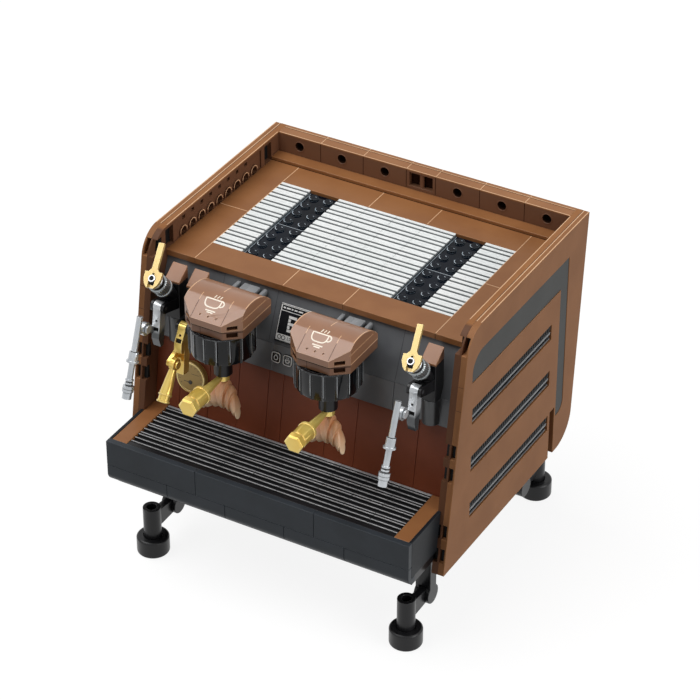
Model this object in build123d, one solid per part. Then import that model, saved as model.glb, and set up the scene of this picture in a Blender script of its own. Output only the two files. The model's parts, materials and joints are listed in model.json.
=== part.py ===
from build123d import *
import os
from math import asin, atan2, cos, degrees, hypot, radians, sin

# Building block model of a two-group coffee machine, in millimetres.
# +Z is up, the front faces -Y, and the origin is on the floor under the middle of the whole model.

# Brick system and clearances
stud = 8.0  # pitch of the brick grid
plate = 3.2  # height of a plate or tile
seam = 0.1  # gap between neighbouring tiles
run_gap = 0.05  # radial clearance of a pin in its eye
side_gap = 0.3  # clearance beside a moving piece
over = 2.0  # overrun of every cut

# Body, seen from the front
body_studs = 20  # clear width between the walls
wall = 3.2  # one of the two layers of each side wall
body_width = body_studs * stud
half = body_width / 2
outer = half + 2 * wall

# Heights, from the floor up
leg_height = 46.7  # floor to the base plate
base_thick = 6.4
body_height = 98.0  # base plate to the top of the cup deck
rim_height = 12.0  # rail above the cup deck
skirt = 5.7  # how far the side walls hang below the base plate's underside
base_top = leg_height + base_thick
deck_top = base_top + body_height
deck_face = deck_top - plate  # underside of the deck tiles
deck_under = deck_face - plate
rim_top = deck_top + rim_height
wall_bottom = leg_height - skirt

# Depths, from the front edge of the cup deck
deck_studs = 12
ledge_depth = 7.2  # strip at the foot of the rear rail
rail_depth = 8.0
head_out = 32.4  # axis of a group head in front of the deck's edge
handle_reach = 31.4  # group axis to the end of a portafilter's grip
deck_depth = deck_studs * stud
back_reach = deck_depth + ledge_depth + rail_depth
front_reach = head_out + handle_reach
deck_front = (front_reach - back_reach) / 2
back = deck_front + back_reach

# Leaning outline of the side walls
front_lean_share = 1 / 6  # the front edge comes forward by this share of the drop
back_lean_share = 1 / 11
wall_lead = 11.3  # front edge of a wall ahead of the deck's edge, at deck height
nose_round = 14.0
heel_round = 16.0
notch_width = 5.0
notch_height = 27.0
notch_ahead = 1.4  # rear end of the notch, ahead of the stripe's column
slot_width = 2.3
slot_depth = 4.0
slot_height = 7.3
slot_shares = (0.051, 0.151, 0.391, 0.486, 0.91)  # heights of the front slots, of the wall's height

# Hollow undersides of the sideways plates, which face the cup deck
relief = 0.8  # the arches' rims stand this far out of the face
hollow = 2.4  # depth of the arches, hatches and end pockets
hollow_edge = 2.0  # solid strip left below the rim's top
arch_first_studs = 2
arch_count = 9
arch_half = 2.3
arch_leg = 1.4
arch_rim = 0.8
hatch_lag = 1.4  # a hatch's middle behind the arch below it
hatch_width = 2.4
hatch_height = 2.8
rib_front = 6.8  # front rib, behind the deck's edge
rib_back = 86.4
rib_width = 3.2

# Stripe and louvres let into each outer panel
stripe_drop = 14.3  # from the rim's top
stripe_band = 14.1
stripe_column = 7.6
stripe_inset = 20.1  # from the back of the rail
stripe_lead = 8.4  # behind the wall's front edge
stripe_foot = 21.0  # above the wall's bottom
stripe_round = 10.0
stripe_recess = 0.2
louvre_studs = 10
louvre_height = 8.6
louvre_pitch_share = 0.2162  # of the wall's height
louvre_drop_share = 0.3522  # from the rim's top to the first window, of the wall's height
louvre_lead = 5.0  # windows' front end ahead of the deck's edge
louvre_count = 3
louvre_recess = 1.2
louvre_slot = 2.6

# Front panel, backsplash and bulkhead
splash_inset = 10.0  # backsplash behind the walls' front edge
plank = 3.2
panel_proud = 2.6  # lower panel row in front of the planks
panel_upper = 23.9
panel_lower = 14.2
panel_run = 10.3  # the upper row leans back by this much
panel_edge = 3.2
panel_studs = 4
plank_studs = (2, 2, 2, 2, 1, 3, 2, 4, 2)
plank_shift = 2.6  # the seams stand this far left of the studs
display_studs = 4
display_thick = 0.8
display_shares = (0.06, 0.76)  # bottom and top edge, of the upper row's height
button_size = 5.0
button_thick = 0.6
button_pitch = 6.2
button_left = 10.6  # middle of the pair, left of the centre line
button_share = 0.6  # of the lower row's height

# Drip tray
tray_out = 54.8  # front face ahead of the deck's edge
tray_height = 20.4
tray_upper = 13.6  # upper row of front tiles
tray_curve = 5.0
tray_cap = 1.6
tray_upper_studs = (6, 8, 6)
tray_lower_studs = 4
drip_rows = 5
drip_tile_studs = 2
drip_groove = 1.5
drip_groove_depth = 1.4
drip_drop = 0.2  # grille below the front tiles' top
side_tile_studs = 1

# Cup deck tiles
border_studs = 2
border_row_studs = (6, 4, 6)  # front and back rows, between the side columns
border_side_studs = (6, 6)
cup_columns = ("grille", "smoked", "grille", "grille", "grille", "grille", "smoked", "grille")
cup_tile_studs = 2
cup_rows = 8
cup_groove = 1.3
cup_groove_depth = 1.2
cup_groove_share = 0.2  # from the tile's middle, of the stud pitch
smoked_drop = 0.9
smoked_rows = 4
knob_radius = 2.4  # studs on the smoked strips
knob_height = 0.8
ledge_rise = 1.6
deck_setback_studs = 1

# Rear rail
rail_studs = (3, 3, 3, 2, 3, 3, 3)
rail_centre = 3  # place of the recessed brick in that row
rail_hole = 2.4
rail_recess = 3.0
rail_frame = 1.5
rail_post = 1.2  # radius of the post that stands in the recess

# Inner columns under the deck
column_studs = 2
column_across_studs = 12
column_rows_studs = (3, 9)

# Legs
leg_across = 140.8  # between the foot pads' axes
leg_front = 35.6  # ahead of the deck's edge
leg_back = 98.6  # behind the deck's edge
pad_radius = 8.1
pad_height = 9.6
pad_edge = 0.8
pad_dish = 1.6
stem_radius = 4.4
stem_bore = 2.4
stem_top = 26.3
arm_run = 19.0  # stem axis to the hinge
arm_wide = 4.0
hinge_height = 17.0
hinge_radius = 5.0
hinge_eye = 2.4
gusset_low = 13.0  # foot of the arm's web on the stem
gusset_end = 3.4  # half the web at the hinge
hinge_cheek = 2.0
bracket_deep = 6.0

# Group heads
head_pitch_studs = 7
head_aside = 1.0  # the pair stands left of the centre line
bowl_radius = 15.2
bowl_rib = 0.6
bowl_ribs = 20
bowl_wall = 1.6
bowl_height = 16.0
bowl_drop = 22.1  # floor of the bowl below the deck's top
ring_height = 4.8
ring_inset = 0.9  # the ring's front behind the cover's
cover_edge = 3.2  # upright front edge of a cover
cover_crown = 7.0  # top of the arch above that edge
cover_peak = 1.75  # the arch's highest line behind the axis
cover_heel = 0.6  # rear edge below the front edge
cover_half = 15.6
cover_nose = 8.2  # half the front face
cover_front = 13.5  # front face ahead of the axis
cover_cheek = 6.6  # chamfer's rear end, ahead of the axis
cover_back = 17.9
slope_run = 9.9  # straight slope behind the front edge
slope_rise = 6.3
cover_groove = 0.5
cover_groove_depth = 0.5
cover_groove_share = 0.46  # height of the side groove, of the cover's height
window_width = 5.1  # openings in the chamfered corners
window_depth = 2.0
window_edge = 0.5
ring_window_edge = 1.1
dot_radius = 0.6
dot_pitch = 4.25
dot_depth = 0.5
dot_back = 2.3  # row of dots behind the front face
core_radius = 9.0
neck_radius = 4.4
neck_drop = 11.4  # below the bowl's floor
spindle_radius = 2.0
arm_block_studs = 2  # width of the hinge bracket behind a cover
arm_block_low = 12.0  # below the deck's top
arm_block_high = 4.6
arm_block_gap = 0.4  # between that bracket and the deck's edge
arm_block_aside = 3.0  # its middle, left of the group's axis
finger_count = 3  # slots between the hinge fingers
finger_slot = 2.2
finger_depth = 3.0

# Portafilters
hub_radius = 3.1
hub_height = 3.1
rod_radius = 1.1  # at the hub
rod_end_radius = 2.6  # at the grip
rod_drop = 1.3  # rod's axis below the hub's top
grip_length = 13.2
grip_radius = 4.3
grip_nut = 3.6  # length of the six-sided end
grip_nut_radius = 4.9
grip_nut_edge = 0.7
grip_groove = 0.7
grip_groove_radius = 3.9
grip_ring = 1.2
grip_ring_radius = 4.6
grip_socket = 6.0  # how far the tang goes into the grip
tang_radius = 1.8
spout_height = 20.2  # top of the horns to their tips
spout_belly = 18.2  # top to the underside in the middle
spout_fall = 19.0  # drop of the back line towards the tips
spout_spread = 9.9  # tip to the middle
spout_thick = 4.0  # half the depth in the middle
spout_tip = 1.2
spout_lean = 3.0  # the tips stand this far forward
spout_end_share = 0.95  # last section, of the spread
spout_power_shares = (2.2, 0.7)  # powers of the back line's curve
spout_boss = 2.6  # radius of the flat top that meets the hub

# Steam valves, given on the valve's own leaning axis
valve_across = 136.0
valve_out = 30.3  # lever's pin ahead of the deck's edge
valve_rise = 4.2  # lever's pin above the deck's top
valve_tilt = 48.0
lever_turn = 8.2  # the levers lean left of upright
lever_behind = 2.0  # the plate's rear face behind the pin's middle
lever_plate = 1.6
lever_cheek = ((1.85, -4.5), (3.5, -2.6), (4.4, 0.0), (4.45, 3.3), (2.7, 3.4), (1.4, 5.0))  # half outline
lever_bore = 1.8
lever_pin = 1.3
lever_pin_bore = 0.7
lever_pin_proud = 0.5
lever_length = 17.5
lever_width = 2.8
lever_slot = 1.2  # short slot above the bore
lever_slot_high = 2.7
lever_jaw = 3.2
collar_thick = 1.4
collar_radius = 4.3
knob_round = 4.7
knob_rim = 1.8
knob_waist = 4.1
knob_length = 11.2
shaft_radius = 1.6
shaft_reach = 6.0
valve_radius = 3.2
valve_length = 11.0

# Posts that carry the valves, with a sloped tile on each
post_studs = 1
post_out = 10.0  # axis ahead of the deck's edge
post_top = 7.4  # below the deck's top
post_round = 4.4
post_round_height = 13.4
slope_high = 6.4
slope_low = 1.0

# Hanging arms, wands and nozzle; places run forward and down from the arm's cross pin
arm_thick = 4.0
arm_hole = 0.65
arm_hole_share = 0.33  # of the arm's length from its cross pin
arm_slot_share = 0.54
arm_slot_height = 2.0
arm_slot_edge = 0.5
arm_mark_depth = 1.4
arm_taper = 4.6  # length of the thinned end
arm_taper_depth = 2.2
arm_depth = 4.6
arm_eye = 2.7
cross_pin = 0.9
ear_thick = 1.3
fork_drop = 14.0  # how far below the pin the fork stays open
steam_pin_out = 24.8  # cross pin ahead of the deck's edge
steam_pin_drop = 14.4  # below the deck's top
steam_hang = (3.3, 20.0)
steam_hand = (13.1, 4.8)
steam_lug = 6.0  # height of the lug at its post
steam_hand_share = 0.62  # where the hand leaves the arm
hand_thick = 2.0
hand_depth = 3.6
clip_pin = 1.2
clip_head = 2.0
clip_head_thick = 0.8
ring_radius = 3.2
ring_thick = 2.4
wand_radius = 1.5
wand_offset = 6.0  # wand's axis ahead of its ring
wand_lean = 20.8
wand_above = 6.8
wand_below = 33.2
wand_collar_radius = 2.3
wand_collar_length = 5.1
wand_collar_share = 0.31  # of the length below the ring
wand_flange_radius = 3.0
wand_flange = 0.9
wand_band_radius = 2.0
wand_band = 0.8
wand_tip_radius = 2.7
wand_tip_length = 3.0
wand_end_radius = 2.2
wand_end_length = 3.4
water_across = 56.0  # left of the centre line
water_pin_out = 22.6
water_pin_drop = 23.4
water_hang = (3.1, 23.4)
water_hand = (9.6, 15.0)
water_hand_share = 0.5
water_front = (6.6, 10.4)
water_lug = 6.0
nozzle_lean = 36.0
nozzle_length = 16.0
nozzle_top_radius = 1.8
nozzle_end_radius = 3.0
nozzle_cup = 3.6  # length of the open cup at its end
nozzle_lip = 0.5  # step of the band above the cup
nozzle_bore = 2.3
nozzle_offset = 2.5  # nozzle's upper end below its ring's centre

# Gauge
gauge_left = 59.6
gauge_radius = 8.0
gauge_thick = 3.0
gauge_share = 0.515  # its middle, of the height between the drip tray and the panel
gauge_pin = 1.3
gauge_pin_low = 3.5
gauge_pin_proud = 0.8


def wall_front(z):
    return deck_front - wall_lead - (deck_top - z) * front_lean_share


def wall_back(z):
    return back - (rim_top - z) * back_lean_share


def splash_face(z):
    return wall_front(z) + splash_inset


def block(x0, x1, y0, y1, z0, z1):
    middle = Pos((x0 + x1) / 2, (y0 + y1) / 2, (z0 + z1) / 2)
    return middle * Box(x1 - x0, y1 - y0, z1 - z0)


def prism(outline, x0, x1, radii=0):
    # A closed outline of (y, z) points, with a round at each corner that has a radius, carried along X
    corners = [(0, y, z) for y, z in outline]
    line = FilletPolyline(*corners, radius=radii, close=True)
    return Pos(x0, 0, 0) * extrude(make_face(line), amount=x1 - x0, dir=(1, 0, 0))


def disc(y, z, radius, x0, x1):
    return Pos((x0 + x1) / 2, y, z) * Rot(0, 90, 0) * Cylinder(radius, x1 - x0)


def upright(x, y, radius, z0, z1):
    return Pos(x, y, (z0 + z1) / 2) * Cylinder(radius, z1 - z0)


def bar(start, end, depth, x0, x1):
    # A straight bar between two (y, z) points, square at both ends
    (y0, z0), (y1, z1) = start, end
    length = hypot(y1 - y0, z1 - z0)
    turn = degrees(atan2(z1 - z0, y1 - y0))
    middle = Pos((x0 + x1) / 2, (y0 + y1) / 2, (z0 + z1) / 2)
    return middle * Rot(turn, 0, 0) * Box(x1 - x0, length, depth)


def spans(counts, start):
    # Start and end of each piece in a row of pieces that are so many studs long
    row = []
    for count in counts:
        row.append((start + seam / 2, start + count * stud - seam / 2))
        start += count * stud
    return row


def both_sides(piece):
    return [piece, mirror(piece, about=Plane.YZ)]


def save(node, pieces):
    solids = [solid for piece in pieces for solid in piece.solids()]
    shape = solids[0] if len(solids) == 1 else Compound(solids)
    export_step(shape, os.path.join("parts", node + ".step"))
    print(node, len(solids), "solids", round(sum(solid.volume for solid in solids)), "mm3")


# Chassis: base plate, columns, walls, rear shell


def base_plate():
    front = deck_front - tray_out + 2 * plate
    return block(-half, half, front, wall_back(wall_bottom) - heel_round, leg_height, base_top)


def inner_columns():
    size = column_studs * stud
    across = column_across_studs * stud / 2
    columns = []
    for side in (-1, 1):
        for row in column_rows_studs:
            x = side * across
            y = deck_front + row * stud
            across_x = (x - size / 2, x + size / 2)
            columns.append(block(*across_x, y - size / 2, y + size / 2, base_top, deck_under))
    return columns


def wall_layer(x0, x1):
    outline = [
        (wall_front(wall_bottom), wall_bottom),
        (wall_back(wall_bottom), wall_bottom),
        (back, rim_top),
        (wall_front(rim_top), rim_top),
    ]
    return prism(outline, x0, x1, [0, heel_round, 0, nose_round])


def front_slots(x0, x1):
    # Slots in the front edge of a wall, deeper where the nose is round
    slots = []
    for share in slot_shares:
        z = wall_bottom + share * (rim_top - wall_bottom)
        y = wall_front(z)
        depth = slot_depth if z + slot_height < rim_top - nose_round else 2 * slot_depth
        slots.append(block(x0, x1, y - over - slot_depth, y + depth, z, z + slot_height))
    return slots


def arch(y, size, depth):
    # A round-headed opening on the deck, seen from the side
    x = (half - over, half + depth)
    z = deck_top + arch_leg
    return disc(y, z, size, *x) + block(*x, y - size, y + size, deck_top, z)


def inner_wall():
    layer = wall_layer(half, half + wall)
    for slot in front_slots(half - over, half + slot_width):
        layer -= slot
    high = rim_top - hollow_edge
    deep = (half - over, half + hollow)
    ribs = [deck_front + rib_front, deck_front + rib_back]
    face = block(half - over, half + relief, ribs[0] + rib_width, ribs[1], deck_top, high)
    openings = []
    for place in range(arch_count):
        y = deck_front + (arch_first_studs + place) * stud
        face -= arch(y, arch_half + arch_rim, relief)
        openings.append(arch(y, arch_half, hollow))
        if place < arch_count - 1:
            middle = y + hatch_lag
            hatch = (middle - hatch_width / 2, middle + hatch_width / 2)
            openings.append(block(*deep, *hatch, high - hatch_height, high))
    openings.append(block(*deep, deck_front + seam, ribs[0], deck_top, high))
    openings.append(block(*deep, ribs[1] + rib_width, deck_front + deck_depth, deck_top, high))
    layer -= face
    for opening in openings:
        layer -= opening
    return layer


def stripe_outline(gap):
    top = rim_top - stripe_drop
    low = top - stripe_band
    rear = back - stripe_inset
    front = wall_front(low) + stripe_lead
    foot = wall_bottom + stripe_foot
    return [
        (front + gap, low + gap),
        (rear - stripe_column + gap, low + gap),
        (rear - stripe_column + gap, foot + gap),
        (rear - gap, foot + gap),
        (rear - gap, top - gap),
        (front + gap, top - gap),
    ]


def stripe(gap, x0, x1):
    rounds = [0, 0, 0, stripe_column - over, 0, stripe_round]
    return prism(stripe_outline(gap), x0, x1, rounds)


def louvre_windows(gap):
    # Each window's front, rear, low and high edge
    front = deck_front - louvre_lead
    windows = []
    for row in range(louvre_count):
        high = rim_top - (louvre_drop_share + row * louvre_pitch_share) * (rim_top - wall_bottom)
        rear = front + louvre_studs * stud
        windows.append((front + gap, rear - gap, high - louvre_height + gap, high - gap))
    return windows


def side_panel():
    inner = half + wall
    panel = wall_layer(inner, outer)
    panel -= stripe(0, inner - over, outer + over)
    for front, rear, low, high in louvre_windows(0):
        panel -= block(inner - over, outer + over, front, rear, low, high)
    rear = back - stripe_inset - stripe_column - notch_ahead
    notch = (rear - notch_width, rear, wall_bottom - over, wall_bottom + notch_height)
    panel -= block(inner - over, outer + over, *notch)
    for slot in front_slots(inner - over, inner + slot_width):
        panel -= slot
    return panel


def louvres():
    grilles = []
    for front, rear, low, high in louvre_windows(seam):
        grille = block(half + wall, outer - louvre_recess, front, rear, low, high)
        middle = (low + high) / 2
        face = outer - louvre_recess
        depth = wall / 2
        bar_half = (louvre_height / 2 - louvre_slot) / 3
        for side in (-1, 1):
            edge = sorted((middle + side * bar_half, middle + side * (bar_half + louvre_slot)))
            grille -= block(face - depth, face + over, front + plate / 2, rear - plate / 2, *edge)
        grilles.append(grille)
    return grilles


def rear_shell():
    # Follows the walls' back edge and their rounded heel
    front = wall_back(wall_bottom) - heel_round
    outline = [
        (front, wall_bottom),
        (wall_back(wall_bottom), wall_bottom),
        (wall_back(deck_under), deck_under),
        (wall_back(deck_under) - wall, deck_under),
        (wall_back(wall_bottom) - wall, wall_bottom + wall),
        (front, wall_bottom + wall),
    ]
    return prism(outline, -half, half, [0, heel_round, 0, 0, heel_round - wall, 0])


# Cup deck and rail


def deck_plate():
    front = deck_front + deck_setback_studs * stud
    return block(-half, half, front, wall_back(deck_face), deck_under, deck_face)


def deck_tile(span_x, span_y, low=None, high=None):
    low = deck_face if low is None else low
    high = deck_top if high is None else high
    return block(*span_x, *span_y, low, high)


def border_tiles():
    depth = border_studs * stud
    rows_front = deck_front + seam / 2
    rows_back = deck_front + deck_depth
    tiles = []
    for span in spans(border_row_studs, -half + depth):
        tiles.append(deck_tile(span, (rows_front, deck_front + depth - seam / 2)))
        tiles.append(deck_tile(span, (rows_back - depth + seam / 2, rows_back - seam / 2)))
    for span in spans(border_side_studs, deck_front):
        tiles += both_sides(deck_tile((half - depth + seam / 2, half - seam / 2), span))
    return tiles


def cup_cells(kind):
    # Left and right edge of each column of that kind
    start = -half + border_studs * stud
    cells = spans([cup_tile_studs] * len(cup_columns), start)
    return [cell for cell, column in zip(cells, cup_columns) if column == kind]


def cup_grille_tiles():
    length = cup_tile_studs * stud - seam
    tile = Box(length, stud - seam, plate)
    for side in (-1, 1):
        groove = Box(length + over, cup_groove, 2 * cup_groove_depth)
        tile -= Pos(0, side * cup_groove_share * stud, plate / 2) * groove
    rows = deck_front + border_studs * stud + stud / 2
    tiles = []
    for left, right in cup_cells("grille"):
        for row in range(cup_rows):
            tiles.append(Pos((left + right) / 2, rows + row * stud, deck_face + plate / 2) * tile)
    return tiles


def smoked_strips():
    strips = []
    high = deck_top - smoked_drop - knob_height
    for left, right in cup_cells("smoked"):
        start = deck_front + border_studs * stud
        for span in spans([smoked_rows] * (cup_rows // smoked_rows), start):
            strip = deck_tile((left, right), span, high=high)
            for column in range(cup_tile_studs):
                for row in range(smoked_rows):
                    x = left - seam / 2 + (column + 0.5) * stud
                    y = span[0] - seam / 2 + (row + 0.5) * stud
                    strip += upright(x, y, knob_radius, deck_face, high + knob_height)
            strips.append(strip)
    return strips


def rear_ledge():
    front = deck_front + deck_depth
    span = (front + seam / 2, front + ledge_depth - seam / 2)
    return deck_tile((-half, half), span, high=deck_top + ledge_rise)


def rail_bricks():
    front = back - rail_depth
    middle = (deck_top + ledge_rise + rim_top) / 2
    bricks = []
    centre = None
    for place, span in enumerate(spans(rail_studs, -half)):
        brick = block(*span, front, back, deck_face, rim_top)
        x = (span[0] + span[1]) / 2
        if place == rail_centre:
            frame = (rim_top - deck_top - ledge_rise) / 2 - rail_frame
            width = (span[1] - span[0]) / 2 - rail_frame
            depth = (front - over, front + rail_recess)
            brick -= block(x - width, x + width, *depth, middle - frame, middle + frame)
            centre = brick + upright(x, front + rail_recess / 2, rail_post, middle - frame, middle + frame)
        else:
            place = Pos(x, front + rail_depth / 2, middle) * Rot(90, 0, 0)
            bricks.append(brick - place * Cylinder(rail_hole, rail_depth + over))
    return bricks, centre


# Front panel and backsplash

panel_seam = deck_face - panel_upper
panel_foot = panel_seam - panel_lower


def leaning(front, rear, low, high):
    # Outline of a slab that leans with the backsplash, by its distances behind the backsplash's face
    corners = ((front, low), (rear, low), (rear, high), (front, high))
    return [(splash_face(z) + offset, z) for offset, z in corners]


def bulkhead():
    return prism(leaning(plank, plank + wall, base_top, panel_seam), -half, half)


def upper_front(share):
    # Point on the upper row's sloping face, at a share of its height
    y = splash_face(panel_seam) - panel_proud + share * panel_run
    return y, panel_seam + share * panel_upper


def upper_panel():
    low = upper_front(0)
    high = upper_front(1)
    rear = splash_face(panel_seam) + plank + wall
    return prism([low, (rear, panel_seam), (high[0] + panel_edge, high[1]), high], -half, half)


def lower_tiles():
    outline = leaning(-panel_proud, plank, panel_foot, panel_seam)
    counts = [panel_studs] * (body_studs // panel_studs)
    return [prism(outline, *span) for span in spans(counts, -half)]


def display_tile():
    low, high = (upper_front(share) for share in display_shares)
    length = hypot(panel_run, panel_upper)
    out = (-panel_upper / length * display_thick, panel_run / length * display_thick)
    outline = [low, high, (high[0] + out[0], high[1] + out[1]), (low[0] + out[0], low[1] + out[1])]
    width = display_studs * stud
    return prism(outline, -width / 2, width / 2)


def button_tiles():
    z = panel_foot + button_share * panel_lower
    face = splash_face(z) - panel_proud
    turn = degrees(atan2(front_lean_share, 1))
    tiles = []
    for side in (-1, 1):
        place = Pos(-button_left + side * button_pitch / 2, face, z) * Rot(-turn, 0, 0)
        tiles.append(place * Pos(0, -button_thick / 2, 0) * Box(button_size, button_thick, button_size))
    return tiles


def planks():
    outline = leaning(0, plank, base_top, panel_foot)
    row = spans(plank_studs, -half - plank_shift)
    row[0] = (-half, row[0][1])
    row[-1] = (row[-1][0], half)
    return [prism(outline, *span) for span in row]


# Drip tray

tray_front = deck_front - tray_out
tray_top = base_top + tray_height
tray_rear = splash_face(base_top) - seam
tray_outer = half + tray_cap


def tray_body():
    return block(-half, half, tray_front + plate, tray_rear, base_top, tray_top - plate)


def tray_caps():
    outline = [
        (tray_front + plate, base_top),
        (wall_front(base_top) - seam, base_top),
        (wall_front(tray_top) - seam, tray_top),
        (tray_front + plate, tray_top),
    ]
    return both_sides(prism(outline, half, tray_outer))


def tray_tile_spans(counts):
    row = spans(counts, -half)
    row[0] = (-tray_outer, row[0][1])
    row[-1] = (row[-1][0], tray_outer)
    return row


def tray_front_tiles():
    depth = (tray_front, tray_front + plate)
    row = tray_tile_spans(tray_upper_studs)
    return [block(*span, *depth, tray_top - tray_upper, tray_top) for span in row]


def tray_curved_tiles():
    high = tray_top - tray_upper - seam
    rear = tray_front + plate
    belly = tray_front + 2 * plate - seam
    lip = base_top - plate
    low = [(tray_front, lip), (belly, lip), (belly, base_top)]
    outline = low + [(rear, base_top), (rear, high), (tray_front, high)]
    counts = [tray_lower_studs] * (body_studs // tray_lower_studs)
    return [prism(outline, *span, [tray_curve, 0, 0, 0, 0, 0]) for span in tray_tile_spans(counts)]


def drip_rows_span():
    return tray_front + plate + seam, splash_face(tray_top - plate) - seam


def drip_tiles():
    start, end = drip_rows_span()
    pitch = (end - start) / drip_rows
    length = drip_tile_studs * stud - seam
    height = plate - drip_drop
    tile = Box(length, pitch - seam, height)
    for side in (-1, 1):
        groove = Box(length + over, drip_groove, 2 * drip_groove_depth)
        tile -= Pos(0, side * pitch / 4, height / 2) * groove
    columns = (body_studs - 2 * side_tile_studs) // drip_tile_studs
    left = -half + side_tile_studs * stud
    tiles = []
    for span in spans([drip_tile_studs] * columns, left):
        for row in range(drip_rows):
            y = start + (row + 0.5) * pitch
            tiles.append(Pos((span[0] + span[1]) / 2, y, tray_top - plate + height / 2) * tile)
    return tiles


def tray_side_tiles():
    start, end = drip_rows_span()
    inner = half - side_tile_studs * stud + seam
    return both_sides(block(inner, half, start, end, tray_top - plate, tray_top - drip_drop))


# Legs, built for the right front corner and set at each corner by its place and heading


def leg_places():
    for side in (-1, 1):
        for y, heading in ((deck_front - leg_front, 1), (deck_front + leg_back, -1)):
            yield Pos(side * leg_across / 2, y, 0) * Rot(0, 0, 0 if heading > 0 else 180)


def foot_pad():
    pad = upright(0, 0, pad_radius, 0, pad_height)
    pad = chamfer(pad.edges().filter_by(GeomType.CIRCLE), pad_edge)
    return pad - upright(0, 0, stem_radius + seam, pad_height - pad_dish, pad_height + over)


def foot_stem():
    stem = upright(0, 0, stem_radius, pad_height - pad_dish, stem_top)
    return stem - upright(0, 0, stem_bore, pad_height + plate, stem_top + over)


def foot_arm():
    web = [
        (0, gusset_low),
        (arm_run, hinge_height - gusset_end),
        (arm_run, hinge_height + gusset_end),
        (0, stem_top - plate),
    ]
    arm = prism(web, -arm_wide / 2, arm_wide / 2)
    arm += disc(arm_run, hinge_height, hinge_radius, -arm_wide / 2, arm_wide / 2)
    arm -= upright(0, 0, stem_radius, -over, leg_height)
    arm -= disc(arm_run, hinge_height, hinge_eye, -arm_wide, arm_wide)
    return arm.solids().sort_by(SortBy.VOLUME)[-1]


def foot_bracket():
    inner = arm_wide / 2
    depth = (arm_run - bracket_deep / 2, arm_run + bracket_deep / 2)
    cheeks = []
    for side in (-1, 1):
        edge = sorted((side * inner, side * (inner + hinge_cheek)))
        cheek = disc(arm_run, hinge_height, hinge_radius, *edge)
        cheek += block(*edge, *depth, hinge_height, leg_height)
        cheeks.append(cheek)
    low = hinge_height + hinge_radius + side_gap
    web = block(-inner, inner, *depth, low, leg_height)
    reach = inner + hinge_cheek
    return cheeks[0] + web + cheeks[1] + disc(arm_run, hinge_height, hinge_eye - run_gap, -reach, reach)


# Group heads, built about the group's axis at the origin and set at each place

head_y = deck_front - head_out
bowl_low = deck_top - bowl_drop
bowl_top = bowl_low + bowl_height
cover_low = bowl_top + ring_height
neck_low = bowl_low - neck_drop


def head_places():
    for side in (-1, 1):
        yield Pos(side * head_pitch_studs * stud / 2 - head_aside, head_y, 0)


def cover_plan(low, high, inset=0):
    plan = Polyline(
        (-cover_half, cover_back),
        (-cover_half, -cover_cheek),
        (-cover_nose, -cover_front + inset),
        (cover_nose, -cover_front + inset),
        (cover_half, -cover_cheek),
        (cover_half, cover_back),
        close=True,
    )
    return Pos(0, 0, low) * extrude(make_face(plan), amount=high - low)


def corner_windows(low, high):
    # Openings in the two chamfered front corners
    turn = degrees(atan2(cover_front - cover_cheek, cover_half - cover_nose))
    middle = ((cover_half + cover_nose) / 2, -(cover_front + cover_cheek) / 2)
    window = Box(window_width, 2 * window_depth, high - low)
    right = Pos(*middle, (low + high) / 2) * Rot(0, 0, turn) * window
    return right + mirror(right, about=Plane.YZ)


def head_cover():
    # A straight slope behind the front edge runs into an arch that falls to the back
    edge = cover_low + cover_edge
    crown = edge + cover_crown
    front = -cover_front
    crest = (0, front + slope_run, edge + slope_rise)
    heel = (0, cover_back, edge - cover_heel)
    side = make_face(
        [
            Polyline(crest, (0, front, edge), (0, front, cover_low), (0, cover_back, cover_low), heel),
            ThreePointArc(heel, (0, cover_peak, crown), crest),
        ]
    )
    roof = Pos(-outer, 0, 0) * extrude(side, amount=2 * outer, dir=(1, 0, 0))
    cover = cover_plan(cover_low, crown) & roof
    z = cover_low + cover_groove_share * (crown - cover_low)
    groove = block(cover_half - cover_groove_depth, outer, -cover_front, cover_back, z, z + cover_groove)
    cover -= groove + mirror(groove, about=Plane.YZ)
    # The dots sink square to the slope
    lean = degrees(atan2(slope_rise, slope_run))
    foot = (front + dot_back, edge + dot_back * slope_rise / slope_run)
    for place in (-1, 0, 1):
        cover -= Pos(place * dot_pitch, *foot) * Rot(lean, 0, 0) * Cylinder(dot_radius, 2 * dot_depth)
    return cover - corner_windows(cover_low + window_edge, edge - window_edge)


def head_ring():
    ring = cover_plan(bowl_top, cover_low, ring_inset)
    ring -= upright(0, 0, core_radius + seam, bowl_top - over, cover_low + over)
    return ring - corner_windows(bowl_top + ring_window_edge, cover_low - ring_window_edge)


def glass_bowl():
    rib = Rectangle(2 * bowl_rib, 2 * bowl_rib)
    section = Circle(bowl_radius) + PolarLocations(bowl_radius, bowl_ribs) * rib
    bowl = Pos(0, 0, bowl_low) * extrude(section, amount=bowl_height)
    bowl -= upright(0, 0, bowl_radius - bowl_wall, bowl_low + bowl_wall, bowl_top + over)
    return bowl - upright(0, 0, neck_radius + seam, bowl_low - over, bowl_top)


def group_core():
    core = upright(0, 0, core_radius, bowl_low + bowl_wall, cover_low)
    core += upright(0, 0, neck_radius, neck_low, bowl_low + 2 * bowl_wall)
    return core + upright(0, 0, spindle_radius, neck_low - hub_height, neck_low + over)


def head_bracket(panel, place):
    width = arm_block_studs * stud / 2
    rear = deck_front - arm_block_gap - head_y
    high = deck_top - arm_block_high
    arm = block(-width, width, cover_back, rear, deck_top - arm_block_low, high)
    for finger in range(finger_count):
        x = (finger - (finger_count - 1) / 2) * 2 * width / finger_count
        edge = (x - finger_slot / 2, x + finger_slot / 2)
        arm -= block(*edge, cover_back + plate, rear + over, high - finger_depth, high + over)
    return place * Pos(-arm_block_aside, 0, 0) * arm - panel


# Portafilters, about the same axis

hub_top = neck_low - side_gap
rod_z = hub_top - rod_drop
grip_rear = -handle_reach + grip_length


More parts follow.
